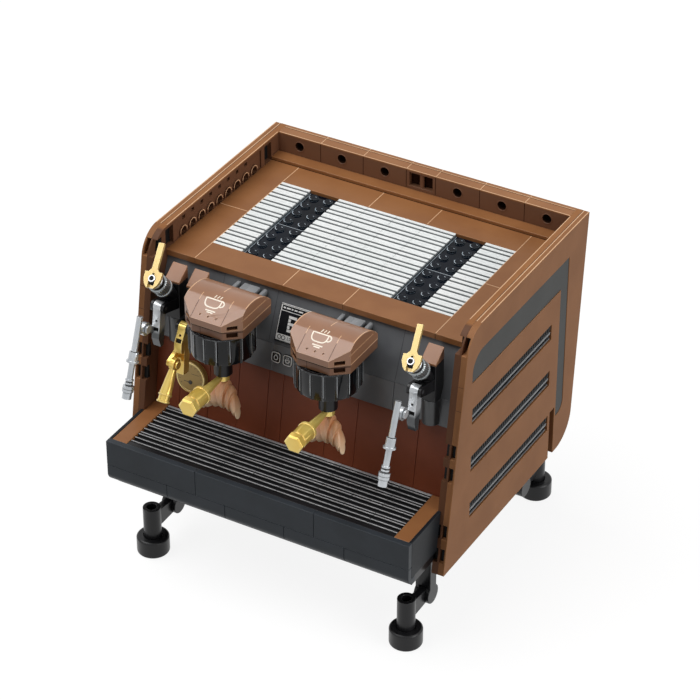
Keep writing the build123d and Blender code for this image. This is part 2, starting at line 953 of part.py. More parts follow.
def portafilter():
    # The rod widens from the hub to the grip, and a tang goes on into the grip
    piece = upright(0, 0, hub_radius, hub_top - hub_height, hub_top)
    turned = Rot(90, 0, 0)
    piece += Pos(0, grip_rear / 2, rod_z) * turned * Cone(rod_radius, rod_end_radius, -grip_rear)
    piece += Pos(0, grip_rear - grip_socket / 2, rod_z) * turned * Cylinder(tang_radius, grip_socket)
    return piece - upright(0, 0, spindle_radius + run_gap, neck_low - 2 * hub_height, neck_low + over)


def grip():
    turned = Rot(90, 0, 0)
    body = Pos(0, -handle_reach + grip_length / 2, rod_z) * turned * Cylinder(grip_radius, grip_length)
    ahead = -handle_reach + grip_nut + grip_groove
    body -= Pos(0, ahead - outer / 2, rod_z) * turned * Cylinder(grip_radius + over, outer)
    body += Pos(0, ahead - grip_groove / 2, rod_z) * turned * Cylinder(grip_groove_radius, grip_groove)
    nut = extrude(RegularPolygon(grip_nut_radius, 6), amount=grip_nut)
    nut = chamfer(nut.faces().sort_by(Axis.Z)[-1].edges(), grip_nut_edge)
    body += Pos(0, -handle_reach + grip_nut, rod_z) * turned * nut
    body += Pos(0, grip_rear - grip_ring / 2, rod_z) * turned * Cylinder(grip_ring_radius, grip_ring)
    return body - Pos(0, grip_rear - grip_socket / 2, rod_z) * turned * Cylinder(tang_radius, grip_socket)


def spout():
    # A pastry-shaped pair of horns: upright ovals from tip to tip, under a flat boss
    top = hub_top - hub_height
    sections = []
    steps = 4
    for step in range(-steps, steps + 1):
        share = spout_end_share * sin(radians(90) * step / steps)
        fall = 1 - (1 - abs(share) ** spout_power_shares[0]) ** spout_power_shares[1]
        high = top - spout_fall * fall
        low = top - spout_belly - (spout_height - spout_belly) * share**2
        depth = spout_tip + (spout_thick - spout_tip) * cos(radians(90) * step / steps)
        place = (spout_spread * share, -spout_lean * share**2, (low + high) / 2)
        plane = Plane(origin=place, x_dir=(0, 1, 0), z_dir=(1, 0, 0))
        sections.append(plane * Ellipse(depth, (high - low) / 2))
    boss = upright(0, 0, spout_boss, top - spout_thick, top)
    cap = block(-outer, outer, -outer, outer, top, top + outer)
    return loft(sections) + boss - cap


# Steam valves, built on the centre line and set at each side

post_half = post_studs * stud / 2
post_y = deck_front - post_out
post_front = post_y - post_half
post_rear = post_y + post_half
post_high = deck_top - post_top
pin_y = deck_front - valve_out
pin_z = deck_top + valve_rise
lever_head = -lever_cheek[0][1]
valve_face = -lever_behind - collar_thick - knob_length - side_gap
valve_plane = Plane(
    origin=(0, pin_y, pin_z),
    x_dir=(1, 0, 0),
    z_dir=(0, -cos(radians(valve_tilt)), sin(radians(valve_tilt))),
)


def axial(radius, low, high):
    # A round on the valve's axis, between two distances along it
    return valve_plane * Pos(0, 0, (low + high) / 2) * Cylinder(radius, high - low)


def lever():
    # A flat key-shaped plate, with a jaw at its foot and a pin that stands clear in its bore
    low = -lever_behind
    cheek = [(x, y) for x, y in lever_cheek]
    outline = cheek + [(-x, y) for x, y in reversed(cheek)]
    head = make_face(Polyline(*outline, close=True))
    head += Pos(0, lever_length / 2) * Rectangle(lever_width, lever_length)
    head -= Pos(0, -lever_bore - lever_head / 2) * Rectangle(lever_jaw, lever_head + lever_bore)
    head -= Pos(0, lever_slot_high / 2) * Rectangle(lever_slot, lever_slot_high)
    turned = valve_plane * Rot(0, 0, lever_turn) * Pos(0, 0, low)
    piece = turned * extrude(head - Circle(lever_bore), amount=lever_plate)
    piece += axial(collar_radius, low - collar_thick, low)
    high = low + lever_plate + lever_pin_proud
    return piece + axial(lever_pin, low - seam, high) - axial(lever_pin_bore, low, high + over)


def knob():
    high = -lever_behind - collar_thick
    low = high - knob_length
    body = axial(knob_waist, low, high) + axial(knob_round, low, low + knob_rim)
    return body - axial(shaft_radius + run_gap, low - over, low + shaft_reach + side_gap)


def forked_lug(pin, low, high):
    # Two ears that reach forward from a post's front face to the cross pin
    y, z = pin
    outline = [(y, z + arm_eye), (post_front, high), (post_front, low), (y, z - arm_eye)]
    lug = prism(outline, -ear_reach, ear_reach)
    return forked(lug + disc(*pin, arm_eye, -ear_reach, ear_reach), pin)


def forked(lug, pin):
    # Slot between the ears for the arm's eye, and the hole for the cross pin
    room = arm_thick / 2 + side_gap
    clear = arm_eye + 2 * side_gap
    lug -= block(-room, room, pin[0] - 2 * clear, pin[0] + clear, pin[1] - fork_drop, pin[1] + 2 * clear)
    return lug - disc(*pin, cross_pin, -outer, outer)


steam_pin = (deck_front - steam_pin_out, deck_top - steam_pin_drop)
water_pin = (deck_front - water_pin_out, deck_top - water_pin_drop)
ear_reach = arm_thick / 2 + side_gap + ear_thick


def valve_body():
    body = axial(valve_radius, valve_face - valve_length, valve_face)
    body += axial(shaft_radius, valve_face - over, valve_face + shaft_reach)
    lug = forked_lug(steam_pin, steam_pin[1] - steam_lug, steam_pin[1])
    lug -= axial(knob_round + side_gap, valve_face, outer)
    return lug + body - block(-outer, outer, post_front, outer, 0, rim_top)


def post_brick(place, panel):
    # Square brick let into the leaning panel behind it
    return place * block(-post_half, post_half, post_front, post_rear, panel_seam, post_high) - panel


def post_foot(place, tiles):
    foot = place * upright(0, post_y, post_round, panel_seam - post_round_height, panel_seam)
    for tile in tiles:
        foot -= tile
    return foot


def slope_tile():
    outline = [
        (post_front, post_high),
        (post_rear, post_high),
        (post_rear, post_high + slope_high),
        (post_front, post_high + slope_low),
    ]
    return prism(outline, -post_half, post_half)


def cross_pins(pin):
    return disc(*pin, cross_pin, -ear_reach, ear_reach)


def arm_marks(start, end):
    # Hole and cross slot in the front of an arm, and the wedge that thins its lower end
    (y0, z0), (y1, z1) = start, end
    length = hypot(y1 - y0, z1 - z0)
    place = Pos(0, y0, z0) * Rot(degrees(atan2(z1 - z0, y1 - y0)), 0, 0)
    face = -arm_depth / 2
    hole = Pos(0, arm_hole_share * length, face) * Cylinder(arm_hole, 2 * arm_mark_depth)
    slot = Box(arm_thick - 2 * arm_slot_edge, arm_slot_height, 2 * arm_mark_depth)
    slot = Pos(0, arm_slot_share * length, face) * slot
    wedge = [
        (0, length - arm_taper, face),
        (0, length + over, face),
        (0, length + over, face + arm_taper_depth * (arm_taper + over) / arm_taper),
    ]
    cut = extrude(make_face(Polyline(*wedge, close=True)), amount=2 * arm_thick, dir=(1, 0, 0))
    return [place * hole, place * slot, place * Pos(-arm_thick, 0, 0) * cut]


def hanging_arm(pin, hang, hand, hand_share, front=None):
    # The tail hangs from the pin, the front bar where there is one slants towards the clip
    end = (pin[0] - hang[0], pin[1] - hang[1])
    clip = (pin[0] - hand[0], pin[1] - hand[1])
    root = (pin[0] - hand_share * hang[0], pin[1] - hand_share * hang[1])
    arm = bar(pin, end, arm_depth, -arm_thick / 2, arm_thick / 2)
    if front:
        end = (pin[0] - front[0], pin[1] - front[1])
        arm += bar(pin, end, arm_depth, -arm_thick / 2, arm_thick / 2)
    arm += disc(*pin, arm_eye, -arm_thick / 2, arm_thick / 2)
    for cut in arm_marks(pin, end):
        arm -= cut
    inner = -ring_thick / 2 - side_gap
    arm += bar(root, clip, hand_depth, inner - hand_thick, inner)
    arm += disc(*clip, hand_depth / 2, inner - hand_thick, inner)
    arm += disc(*clip, clip_pin, inner - hand_thick, -inner + clip_head_thick)
    arm += disc(*clip, clip_head, -inner, -inner + clip_head_thick)
    arm -= disc(*clip, ring_radius + side_gap, inner, -inner)
    arm += disc(*clip, clip_pin, inner - hand_thick, -inner + clip_head_thick)
    return arm - disc(*pin, cross_pin + run_gap, -outer, outer)


def clip_place(pin, hand):
    return pin[0] - hand[0], pin[1] - hand[1]


def ring(clip):
    eye = disc(*clip, ring_radius, -ring_thick / 2, ring_thick / 2)
    return eye, disc(*clip, clip_pin + run_gap, -outer, outer)


def steam_wand():
    clip = clip_place(steam_pin, steam_hand)
    eye, hole = ring(clip)
    lean = radians(wand_lean)
    along = (-sin(lean), -cos(lean))
    origin = (clip[0] - wand_offset * cos(lean), clip[1] + wand_offset * sin(lean))

    def stretch(radius, start, end):
        middle = (start + end) / 2
        place = Pos(0, origin[0] + along[0] * middle, origin[1] + along[1] * middle)
        return place * Rot(-wand_lean, 0, 0) * Cylinder(radius, end - start)

    wand = stretch(wand_radius, -wand_above, wand_below)
    collar = wand_collar_share * wand_below
    foot = collar + wand_collar_length
    wand += stretch(wand_collar_radius, collar, foot)
    wand += stretch(wand_flange_radius, foot - wand_flange, foot)
    tip = wand_below - wand_end_length - wand_tip_length
    wand += stretch(wand_tip_radius, tip, tip + wand_tip_length)
    wand += stretch(wand_end_radius, tip, wand_below)
    for place in (2, 4):
        wand += stretch(wand_band_radius, tip - place * wand_band, tip - (place - 1) * wand_band)
    wand += bar(origin, clip, 2 * wand_radius, -ring_thick / 2, ring_thick / 2) + eye
    return wand - hole


def water_bracket():
    return forked_lug(water_pin, water_pin[1] - water_lug / 2, water_pin[1] + water_lug / 2)


def water_nozzle():
    clip = clip_place(water_pin, water_hand)
    eye, hole = ring(clip)
    start = nozzle_offset
    taper = nozzle_length - nozzle_cup
    body = Pos(0, 0, -taper / 2 - start) * Cone(nozzle_end_radius, nozzle_top_radius, taper)
    cup = Cylinder(nozzle_end_radius - nozzle_lip / 2, nozzle_cup)
    body += Pos(0, 0, -taper - nozzle_cup / 2 - start) * cup
    bore = Pos(0, 0, -nozzle_length - start) * Cylinder(nozzle_bore, nozzle_cup)
    place = Pos(0, *clip) * Rot(-nozzle_lean, 0, 0)
    return place * (body - bore) + eye - hole


def gauge():
    z = tray_top + gauge_share * (panel_foot - tray_top)
    turn = degrees(atan2(front_lean_share, 1))
    place = Pos(-gauge_left, splash_face(z), z) * Rot(-turn, 0, 0) * Rot(90, 0, 0)
    face = place * Pos(0, 0, gauge_thick / 2) * Cylinder(gauge_radius, gauge_thick)
    hole = place * Pos(0, -gauge_pin_low, gauge_thick / 2) * Cylinder(gauge_pin, gauge_thick + over)
    length = gauge_thick + gauge_pin_proud
    pin = place * Pos(0, -gauge_pin_low, length / 2) * Cylinder(gauge_pin, length)
    return [face - hole, pin]


os.makedirs("parts", exist_ok=True)

save("base_plate", [base_plate()])
save("inner_columns", inner_columns())
for side, piece in zip(("right", "left"), both_sides(inner_wall())):
    save("inner_wall_" + side, [piece])
for side, piece in zip(("right", "left"), both_sides(side_panel())):
    save("side_panel_" + side, [piece])
for side, piece in zip(("right", "left"), both_sides(stripe(seam, half + wall, outer - stripe_recess))):
    save("side_stripe_" + side, [piece])
save("side_louvres", [piece for grille in louvres() for piece in both_sides(grille)])
save("rear_shell", [rear_shell()])

save("deck_plate", [deck_plate()])
save("deck_border_tiles", border_tiles())
save("cup_grille_tiles", cup_grille_tiles())
save("smoked_strips", smoked_strips())
save("rear_ledge", [rear_ledge()])
holed, recessed = rail_bricks()
save("rail_hole_bricks", holed)
save("rail_centre_brick", [recessed])

sloped_panel = upper_panel()
save("front_bulkhead", [bulkhead()])
save("upper_panel", [sloped_panel])
panel_row = lower_tiles()
save("lower_panel_tiles", panel_row)
save("display_tile", [display_tile()])
save("button_tiles", button_tiles())
save("backsplash_planks", planks())

save("tray_body", [tray_body()])
save("tray_end_caps", tray_caps())
save("tray_front_tiles", tray_front_tiles())
save("tray_curved_tiles", tray_curved_tiles())
save("drip_grille_tiles", drip_tiles())
save("tray_side_tiles", tray_side_tiles())

legs = list(leg_places())
for node, piece in (
    ("foot_pads", foot_pad()),
    ("foot_stems", foot_stem()),
    ("foot_arms", foot_arm()),
    ("foot_brackets", foot_bracket()),
):
    save(node, [place * piece for place in legs])

heads = list(head_places())
for node, piece in (
    ("head_covers", head_cover()),
    ("head_rings", head_ring()),
    ("glass_bowls", glass_bowl()),
    ("group_cores", group_core()),
):
    save(node, [place * piece for place in heads])
save("head_brackets", [head_bracket(sloped_panel, place) for place in heads])
for side, place in zip(("left", "right"), heads):
    save("portafilter_" + side, [place * portafilter()])
    save("grip_" + side, [place * grip()])
    save("spout_" + side, [place * spout()])

valves = [Pos(-valve_across / 2, 0, 0), Pos(valve_across / 2, 0, 0)]
water = Pos(-water_across, 0, 0)
posts = valves + [water]
save("valve_bodies", [place * valve_body() for place in valves] + [water * water_bracket()])
save("post_bricks", [post_brick(place, sloped_panel) for place in posts])
save("post_feet", [post_foot(place, panel_row) for place in posts])
save("slope_tiles", [place * slope_tile() for place in posts])
crossed = [place * cross_pins(steam_pin) for place in valves] + [water * cross_pins(water_pin)]
save("arm_cross_pins", crossed)
for side, place in zip(("left", "right"), valves):
    save("lever_" + side, [place * lever()])
    save("knob_" + side, [place * knob()])
    save("steam_arm_" + side, [place * hanging_arm(steam_pin, steam_hang, steam_hand, steam_hand_share)])
    save("steam_wand_" + side, [place * steam_wand()])
slanted = hanging_arm(water_pin, water_hang, water_hand, water_hand_share, water_front)
save("water_arm", [water * slanted])
save("water_nozzle", [water * water_nozzle()])
save("gauge", gauge())
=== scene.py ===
import bmesh
import bpy
import json
import math
import numpy as np
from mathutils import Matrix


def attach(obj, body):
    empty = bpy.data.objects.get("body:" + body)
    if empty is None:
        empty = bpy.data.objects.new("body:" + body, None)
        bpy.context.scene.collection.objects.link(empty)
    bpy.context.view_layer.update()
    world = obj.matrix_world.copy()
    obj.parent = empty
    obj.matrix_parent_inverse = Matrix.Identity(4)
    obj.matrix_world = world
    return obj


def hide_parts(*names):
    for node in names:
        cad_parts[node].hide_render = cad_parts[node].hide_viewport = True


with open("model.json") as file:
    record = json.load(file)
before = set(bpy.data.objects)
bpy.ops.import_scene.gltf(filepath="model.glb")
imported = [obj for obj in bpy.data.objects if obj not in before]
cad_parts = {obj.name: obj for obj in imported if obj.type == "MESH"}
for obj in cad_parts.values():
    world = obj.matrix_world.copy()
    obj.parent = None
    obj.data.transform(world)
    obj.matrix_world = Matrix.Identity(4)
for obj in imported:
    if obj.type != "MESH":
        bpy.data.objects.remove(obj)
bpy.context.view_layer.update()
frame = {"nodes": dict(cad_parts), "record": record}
nodes = frame["nodes"]
members = frame["record"]["behaviour"]["bodies"]
bodyOf = {node: body for body, held in members.items() for node in held}
slotOf = {row["node"]: row["material_slot"] for row in frame["record"]["subparts"]}
mm = 0.001
up = (0, 0, 1)
deckFront = -23.7  # front edge of the cup deck, mm
deckTop = 151.1
rimTop = 163.1  # top of the rail and of the outer walls
frontLean = 1 / 6  # how far the front comes forward for each mm down


# Materials

plainLook = {"cloud": 55.0, "wear": 0.3, "hairRough": 0.05, "bump": 0.05, "metal": 0.0,
             "coat": 0.2, "coatRough": 0.12, "ior": 1.5, "clear": 0.0, "groove": None}
moulding = {"cloudSpan": (0.35, 0.65), "edge": 0.35, "edgeTurn": (0.995, 0.85), "grain": 2400.0,
            "grainDeep": 0.1, "hair": 260.0, "hairStretch": (1.0, 9.0, 1.0),
            "hairSpan": (0.55, 0.75)}


def linear(r, g, b):
    # A screen colour in bytes as the linear colour that a shader takes
    c = np.array([r, g, b]) / 255
    return tuple(np.where(c <= 0.04045, c / 12.92, ((c + 0.055) / 1.055) ** 2.4)) + (1.0,)


def addNode(tree, kind, values=None, **settings):
    node = tree.nodes.new(kind)
    for key, value in settings.items():
        setattr(node, key, value)
    for key, value in (values or {}).items():
        node.inputs[key].default_value = value
    return node


def noiseAt(tree, coords, scale, detail, stretch=None):
    # Noise on the object's own coordinates, stretched along an axis for moulded streaks
    noise = addNode(tree, "ShaderNodeTexNoise", {"Scale": scale, "Detail": detail})
    if stretch:
        mapping = addNode(tree, "ShaderNodeMapping", {"Scale": stretch})
        tree.links.new(coords, mapping.inputs["Vector"])
        coords = mapping.outputs["Vector"]
    tree.links.new(coords, noise.inputs["Vector"])
    return noise.outputs["Fac"]


def ranged(tree, value, low, high, toLow=0.0, toHigh=1.0):
    node = addNode(tree, "ShaderNodeMapRange", {1: low, 2: high, 3: toLow, 4: toHigh})
    tree.links.new(value, node.inputs[0])
    return node.outputs[0]


def mixed(tree, factor, first, second):
    # Blend of two colours, each a value or a socket
    node = addNode(tree, "ShaderNodeMix", data_type="RGBA")
    for socket, value in ((node.inputs[6], first), (node.inputs[7], second)):
        if isinstance(value, tuple):
            socket.default_value = value
        else:
            tree.links.new(value, socket)
    tree.links.new(factor, node.inputs[0])
    return node.outputs[2]


def edgeShare(tree):
    # Near 1 on rounded-over edges: how far the bevelled normal turns from the face's own
    bevel = addNode(tree, "ShaderNodeBevel", {"Radius": moulding["edge"] * mm}, samples=4)
    geometry = addNode(tree, "ShaderNodeNewGeometry")
    dot = addNode(tree, "ShaderNodeVectorMath", operation="DOT_PRODUCT")
    tree.links.new(bevel.outputs[0], dot.inputs[0])
    tree.links.new(geometry.outputs["Normal"], dot.inputs[1])
    return ranged(tree, dot.outputs["Value"], *moulding["edgeTurn"])


def mouldedFinish(name, look):
    # Moulded plastic: cloudy pigment, paler edges for wear and a painted edge highlight, fine
    # grain, faint hairlines in the gloss
    look = {**plainLook, **look}
    material = bpy.data.materials.new(name)
    material.use_nodes = True
    tree = material.node_tree
    shader = tree.nodes["Principled BSDF"]
    coords = addNode(tree, "ShaderNodeTexCoord").outputs["Object"]
    cloud = ranged(tree, noiseAt(tree, coords, look["cloud"], 3.0), *moulding["cloudSpan"])
    tone = mixed(tree, cloud, linear(*look["dark"]), linear(*look["pale"]))
    # Paler rounded edges: wear, and a painted highlight along them
    worn = addNode(tree, "ShaderNodeMath", {1: look["wear"]}, operation="MULTIPLY")
    tree.links.new(edgeShare(tree), worn.inputs[0])
    tone = mixed(tree, worn.outputs[0], tone, linear(*look["worn"]))
    if look["groove"]:  # another tone below a height: mostly painted shade, and a painted highlight on the spouts; see each finish
        height = addNode(tree, "ShaderNodeSeparateXYZ")
        tree.links.new(coords, height.inputs[0])
        low, high, colour = look["groove"]
        above = ranged(tree, height.outputs["Z"], low * mm, high * mm)
        tone = mixed(tree, above, linear(*colour), tone)
    tree.links.new(tone, shader.inputs["Base Color"])
    fine = noiseAt(tree, coords, moulding["grain"], 2.0)
    hair = noiseAt(tree, coords, moulding["hair"], 4.0, moulding["hairStretch"])
    rough = look["rough"]
    lined = ranged(tree, hair, *moulding["hairSpan"], rough, rough + look["hairRough"])
    tree.links.new(lined, shader.inputs["Roughness"])
    grain = {"Strength": look["bump"], "Distance": moulding["grainDeep"] * mm}
    bump = addNode(tree, "ShaderNodeBump", grain)
    tree.links.new(fine, bump.inputs["Height"])
    tree.links.new(bump.outputs["Normal"], shader.inputs["Normal"])
    for socket, key in (("Metallic", "metal"), ("Coat Weight", "coat"), ("IOR", "ior"),
                        ("Coat Roughness", "coatRough"), ("Transmission Weight", "clear")):
        shader.inputs[socket].default_value = look[key]
    return material


def plastic(dark, pale, worn, rough, **more):
    # Dark and pale pigment, an edge colour for wear and painted edge highlight, roughness, and what
    # differs from the plain look
    return {"dark": dark, "pale": pale, "worn": worn, "rough": rough, **more}


# One finish for each material slot of the record, then those of single pieces
slotFinishes = {
    "brown_tile": plastic((143, 94, 56), (153, 103, 63), (232, 186, 138), 0.38,
                          wear=0.5, coat=0.02, ior=1.33),
    "dark_brown_tile": plastic((122, 62, 38), (132, 68, 43), (136, 78, 52), 0.4,
                               coat=0.0, ior=1.32),
    # White tiles, grey below a height as painted shade in the grille's slots
    "white_tile": plastic((242, 246, 245), (250, 252, 251), (252, 254, 253), 0.3,
                          coat=0.1, groove=(150.2, 150.95, (92, 100, 104))),
    "smoked_blue": plastic((5, 12, 23), (11, 21, 35), (150, 166, 178), 0.1,
                           clear=0.3, coat=0.0, ior=1.2, wear=0.5),
    "panel_grey": plastic((96, 98, 101), (108, 110, 113), (150, 153, 155), 0.3, coat=0.1, ior=1.4),
    "tray_black": plastic((44, 49, 54), (51, 56, 62), (96, 102, 108), 0.4, coat=0.0, ior=1.3),
    "black": plastic((20, 20, 22), (27, 27, 29), (85, 87, 90), 0.3, coat=0.06, ior=1.36),
    "smoked_clear": plastic((12, 14, 17), (22, 24, 28), (205, 208, 212), 0.08,
                            clear=0.3, coat=0.1, ior=1.3, wear=0.5, coatRough=0.04),
    "display_print": plastic((30, 31, 33), (38, 39, 42), (80, 82, 85), 0.2, coat=0.15, ior=1.4),
    "icon_print": plastic((24, 25, 27), (31, 32, 35), (70, 72, 75), 0.2, coat=0.15, ior=1.4),
    "gold": plastic((248, 206, 96), (255, 230, 134), (255, 250, 212), 0.17,
                    metal=0.42, bump=0.02, hairRough=0.03, wear=0.6),
    # Copper, paler below a height as a painted highlight on the spouts' lower lobes
    "copper": plastic((230, 162, 112), (250, 190, 142), (255, 224, 188), 0.3,
                      bump=0.08, cloud=120.0, wear=0.6, groove=(97.0, 107.0, (255, 226, 188))),
    "silver": plastic((172, 177, 182), (206, 210, 214), (244, 246, 248), 0.18,
                      metal=0.6, bump=0.02, hairRough=0.03, wear=0.6),
    "dark_grey": plastic((70, 73, 75), (82, 85, 87), (135, 138, 140), 0.3, coat=0.1),
}
pieceFinishes = {
    # Inner walls and rail: darker below the rim's top as painted shade
    "wallShade": plastic((150, 100, 61), (160, 109, 68), (214, 168, 124), 0.45,
                         wear=0.4, coat=0.0, ior=1.22, groove=(162.3, 162.8, (104, 70, 50))),
    "railShade": plastic((150, 100, 61), (160, 109, 68), (214, 168, 124), 0.4,
                         wear=0.4, coat=0.0, ior=1.36, groove=(162.3, 162.8, (120, 84, 62))),
    "sideBrown": plastic((146, 100, 66), (156, 108, 72), (226, 180, 134), 0.5,
                         wear=0.4, coat=0.0, ior=1.2),
    # Painted shade: a darker copy of the covers' brown for the rings under their overhang
    "ringBrown": plastic((126, 88, 64), (136, 96, 71), (196, 156, 122), 0.34,
                         wear=0.5, coat=0.1, ior=1.4),
    "coverBrown": plastic((152, 106, 76), (162, 114, 82), (240, 200, 158), 0.28,
                          wear=0.6, coat=0.25),
    "leverGold": plastic((204, 174, 104), (220, 192, 122), (252, 240, 196), 0.3,
                         metal=0.25, bump=0.02, wear=0.6),
    # Bracket grey, near black below a height as painted shade in the notches
    "bracketGrey": plastic((140, 143, 146), (156, 159, 162), (210, 212, 214), 0.35,
                           groove=(143.6, 145.6, (18, 18, 20))),
    # Drip ridges: near black below a height as painted shade down their sides, pale grey tops
    # partly a painted sheen
    "drip": plastic((150, 150, 152), (168, 168, 170), (214, 214, 214), 0.3,
                    wear=0.6, groove=(72.6, 73.2, (12, 12, 12))),
    "whiteInk": plastic((240, 240, 238), (250, 250, 248), (250, 250, 248), 0.4, bump=0.02),
    "creamInk": plastic((252, 234, 212), (255, 244, 226), (255, 244, 226), 0.4, bump=0.02),
    "darkLine": plastic((64, 42, 32), (78, 52, 40), (78, 52, 40), 0.5,
                        bump=0.02, coat=0.0, ior=1.3),
    # Painted highlights along edges, joints and rims
    "paleLine": plastic((226, 178, 134), (242, 198, 156), (244, 204, 164), 0.4, bump=0.02),
    # Near black brown for painted shade in pockets, holes and behind openings
    "pocketBrown": plastic((44, 27, 19), (54, 34, 24), (58, 37, 26), 0.9,
                           bump=0.02, coat=0.0, ior=1.05),
    # Near black for painted shade behind slots, in holes and round the knobs
    "liner": plastic((9, 8, 8), (15, 13, 12), (20, 18, 17), 0.6, coat=0.0, ior=1.3),
    "stripe": plastic((48, 49, 47), (55, 56, 54), (104, 106, 105), 0.42, coat=0.0, ior=1.24),
    # Painted shade: a darker copy of the tray's black for its end caps
    "trayEnd": plastic((27, 30, 33), (33, 36, 40), (84, 90, 96), 0.42, coat=0.0, ior=1.22),
    # Steam arms: paler than the silver, partly a painted highlight, and darker below a height
    "armSteel": plastic((202, 206, 210), (228, 231, 234), (252, 253, 254), 0.2,
                        metal=0.32, bump=0.02, wear=0.6, groove=(124.0, 127.5, (84, 87, 90))),
    "knobSteel": plastic((140, 146, 148), (172, 178, 180), (240, 244, 246), 0.18,
                         metal=0.6, wear=0.5),
    "barGrey": plastic((104, 106, 108), (120, 122, 124), (190, 192, 194), 0.32),
    "louvreDark": plastic((24, 25, 26), (33, 34, 35), (70, 72, 74), 0.5, coat=0.0, ior=1.3),
    "slopeBrown": plastic((152, 105, 74), (162, 113, 80), (236, 194, 150), 0.32,
                          wear=0.5, coat=0.06, ior=1.42),
    "toothGrey": plastic((44, 46, 48), (56, 58, 60), (100, 102, 104), 0.4),
    "glassGlint": plastic((150, 156, 162), (206, 210, 214), (225, 228, 230), 0.15, cloud=160.0),
    "studGlint": plastic((150, 168, 182), (206, 216, 224), (220, 228, 234), 0.15),
    "dialInk": plastic((34, 26, 14), (46, 36, 20), (46, 36, 20), 0.5, bump=0.02),
    "dialGold": plastic((150, 122, 62), (168, 138, 74), (240, 222, 164), 0.34, metal=0.3, wear=0.7),
}
materials = {name: mouldedFinish("finish_" + name, look)
             for name, look in {**slotFinishes, **pieceFinishes}.items()}
for node, piece in nodes.items():
    piece.data.materials.clear()
    piece.data.materials.append(materials[slotOf[node]])
print("finishes made:", len(materials))


# Pieces

meshing = {"merge": 0.002, "seam": 0.0005, "sliver": 0.0002,  # mm
           "flat": 0.8, "sharp": 32, "eased": 35}  # degrees


def camel(name):
    first, *rest = name.split("_")
    return first + "".join(word.capitalize() for word in rest)


def smoothed(mesh):
    mesh.shade_smooth()
    mesh.set_sharp_from_angle(angle=math.radians(meshing["sharp"]))


def settle(piece, node, finish, stands):
    # Ties a new piece to the body of the CAD node that it dresses or stands for, gives it the named
    # finish, and hides the node when it stands for it
    bpy.context.scene.collection.objects.link(piece)
    piece.data.materials.clear()
    piece.data.materials.append(materials[finish])
    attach(piece, bodyOf[node])
    if stands:
        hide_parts(node)
    return piece


def easedCopy(node, width, finish):
    # The node's triangles merged into flat faces again, with each sharp edge rounded over
    mesh = nodes[node].data.copy()
    mesh.name = camel(node)
    work = bmesh.new()
    work.from_mesh(mesh)
    bmesh.ops.remove_doubles(work, verts=work.verts, dist=meshing["merge"] * mm)
    bmesh.ops.dissolve_limit(work, angle_limit=math.radians(meshing["flat"]),
                             verts=work.verts, edges=work.edges)
    work.to_mesh(mesh)
    work.free()
    smoothed(mesh)
    piece = bpy.data.objects.new(camel(node), mesh)
    ease = piece.modifiers.new("ease", "BEVEL")
    ease.width = width * mm
    ease.segments = 2
    ease.limit_method = "ANGLE"
    ease.angle_limit = math.radians(meshing["eased"])
    ease.harden_normals = True
    settle(piece, node, finish, True)


easing = {
    "deck_border_tiles": 0.3, "rear_ledge": 0.3, "cup_grille_tiles": 0.18, "smoked_strips": 0.2,
    "upper_panel": 0.3, "lower_panel_tiles": 0.3, "backsplash_planks": 0.3, "side_louvres": 0.15,
    "tray_front_tiles": 0.3, "tray_curved_tiles": 0.3, "tray_side_tiles": 0.3,
    "foot_pads": 0.4, "foot_stems": 0.3, "foot_arms": 0.3, "foot_brackets": 0.3,
    "grip_left": 0.35, "grip_right": 0.35, "post_bricks": 0.25, "post_feet": 0.2,
    "steam_wand_left": 0.25, "steam_wand_right": 0.25,
    "water_arm": 0.25, "water_nozzle": 0.2, "valve_bodies": 0.2, "rear_shell": 0.3,
    "portafilter_left": 0.3, "portafilter_right": 0.3, "display_tile": 0.2,
}
ownFinish = {
    "rail_hole_bricks": (0.3, "railShade"), "rail_centre_brick": (0.3, "railShade"),
    "inner_wall_left": (0.2, "wallShade"), "inner_wall_right": (0.2, "wallShade"),
    "side_panel_left": (0.3, "sideBrown"), "side_panel_right": (0.3, "sideBrown"),
    "side_stripe_left": (0.2, "stripe"), "side_stripe_right": (0.2, "stripe"),
    "head_covers": (0.35, "coverBrown"), "slope_tiles": (0.3, "slopeBrown"),
    "head_rings": (0.3, "ringBrown"), "head_brackets": (0.2, "bracketGrey"),
    "lever_left": (0.25, "leverGold"), "lever_right": (0.25, "leverGold"),
    "tray_end_caps": (0.2, "trayEnd"),
    "steam_arm_left": (0.25, "armSteel"), "steam_arm_right": (0.25, "armSteel"),
}
for node, width in easing.items():
    easedCopy(node, width, slotOf[node])
for node, (width, finish) in ownFinish.items():
    easedCopy(node, width, finish)
print("edges eased on", len(easing) + len(ownFinish), "nodes")


def dress(name, parts, node, finish, stands=False):
    # One mesh from several (points in mm, faces) parts, with poles and seams merged and
    # faces turned outwards
    mesh = bpy.data.meshes.new(name)
    points, faces, start = [], [], 0
    for grid, quads in parts:
        points.append(grid.reshape(-1, 3))
        faces += [[int(i) + start for i in face] for face in quads]
        start += len(points[-1])
    mesh.from_pydata((np.vstack(points) * mm).tolist(), [], faces)
    work = bmesh.new()
    work.from_mesh(mesh)
    bmesh.ops.remove_doubles(work, verts=work.verts, dist=meshing["seam"] * mm)
    bmesh.ops.dissolve_degenerate(work, edges=work.edges, dist=meshing["sliver"] * mm)
    bmesh.ops.recalc_face_normals(work, faces=work.faces)
    work.to_mesh(mesh)
    work.free()
    smoothed(mesh)
    return settle(bpy.data.objects.new(name, mesh), node, finish, stands)


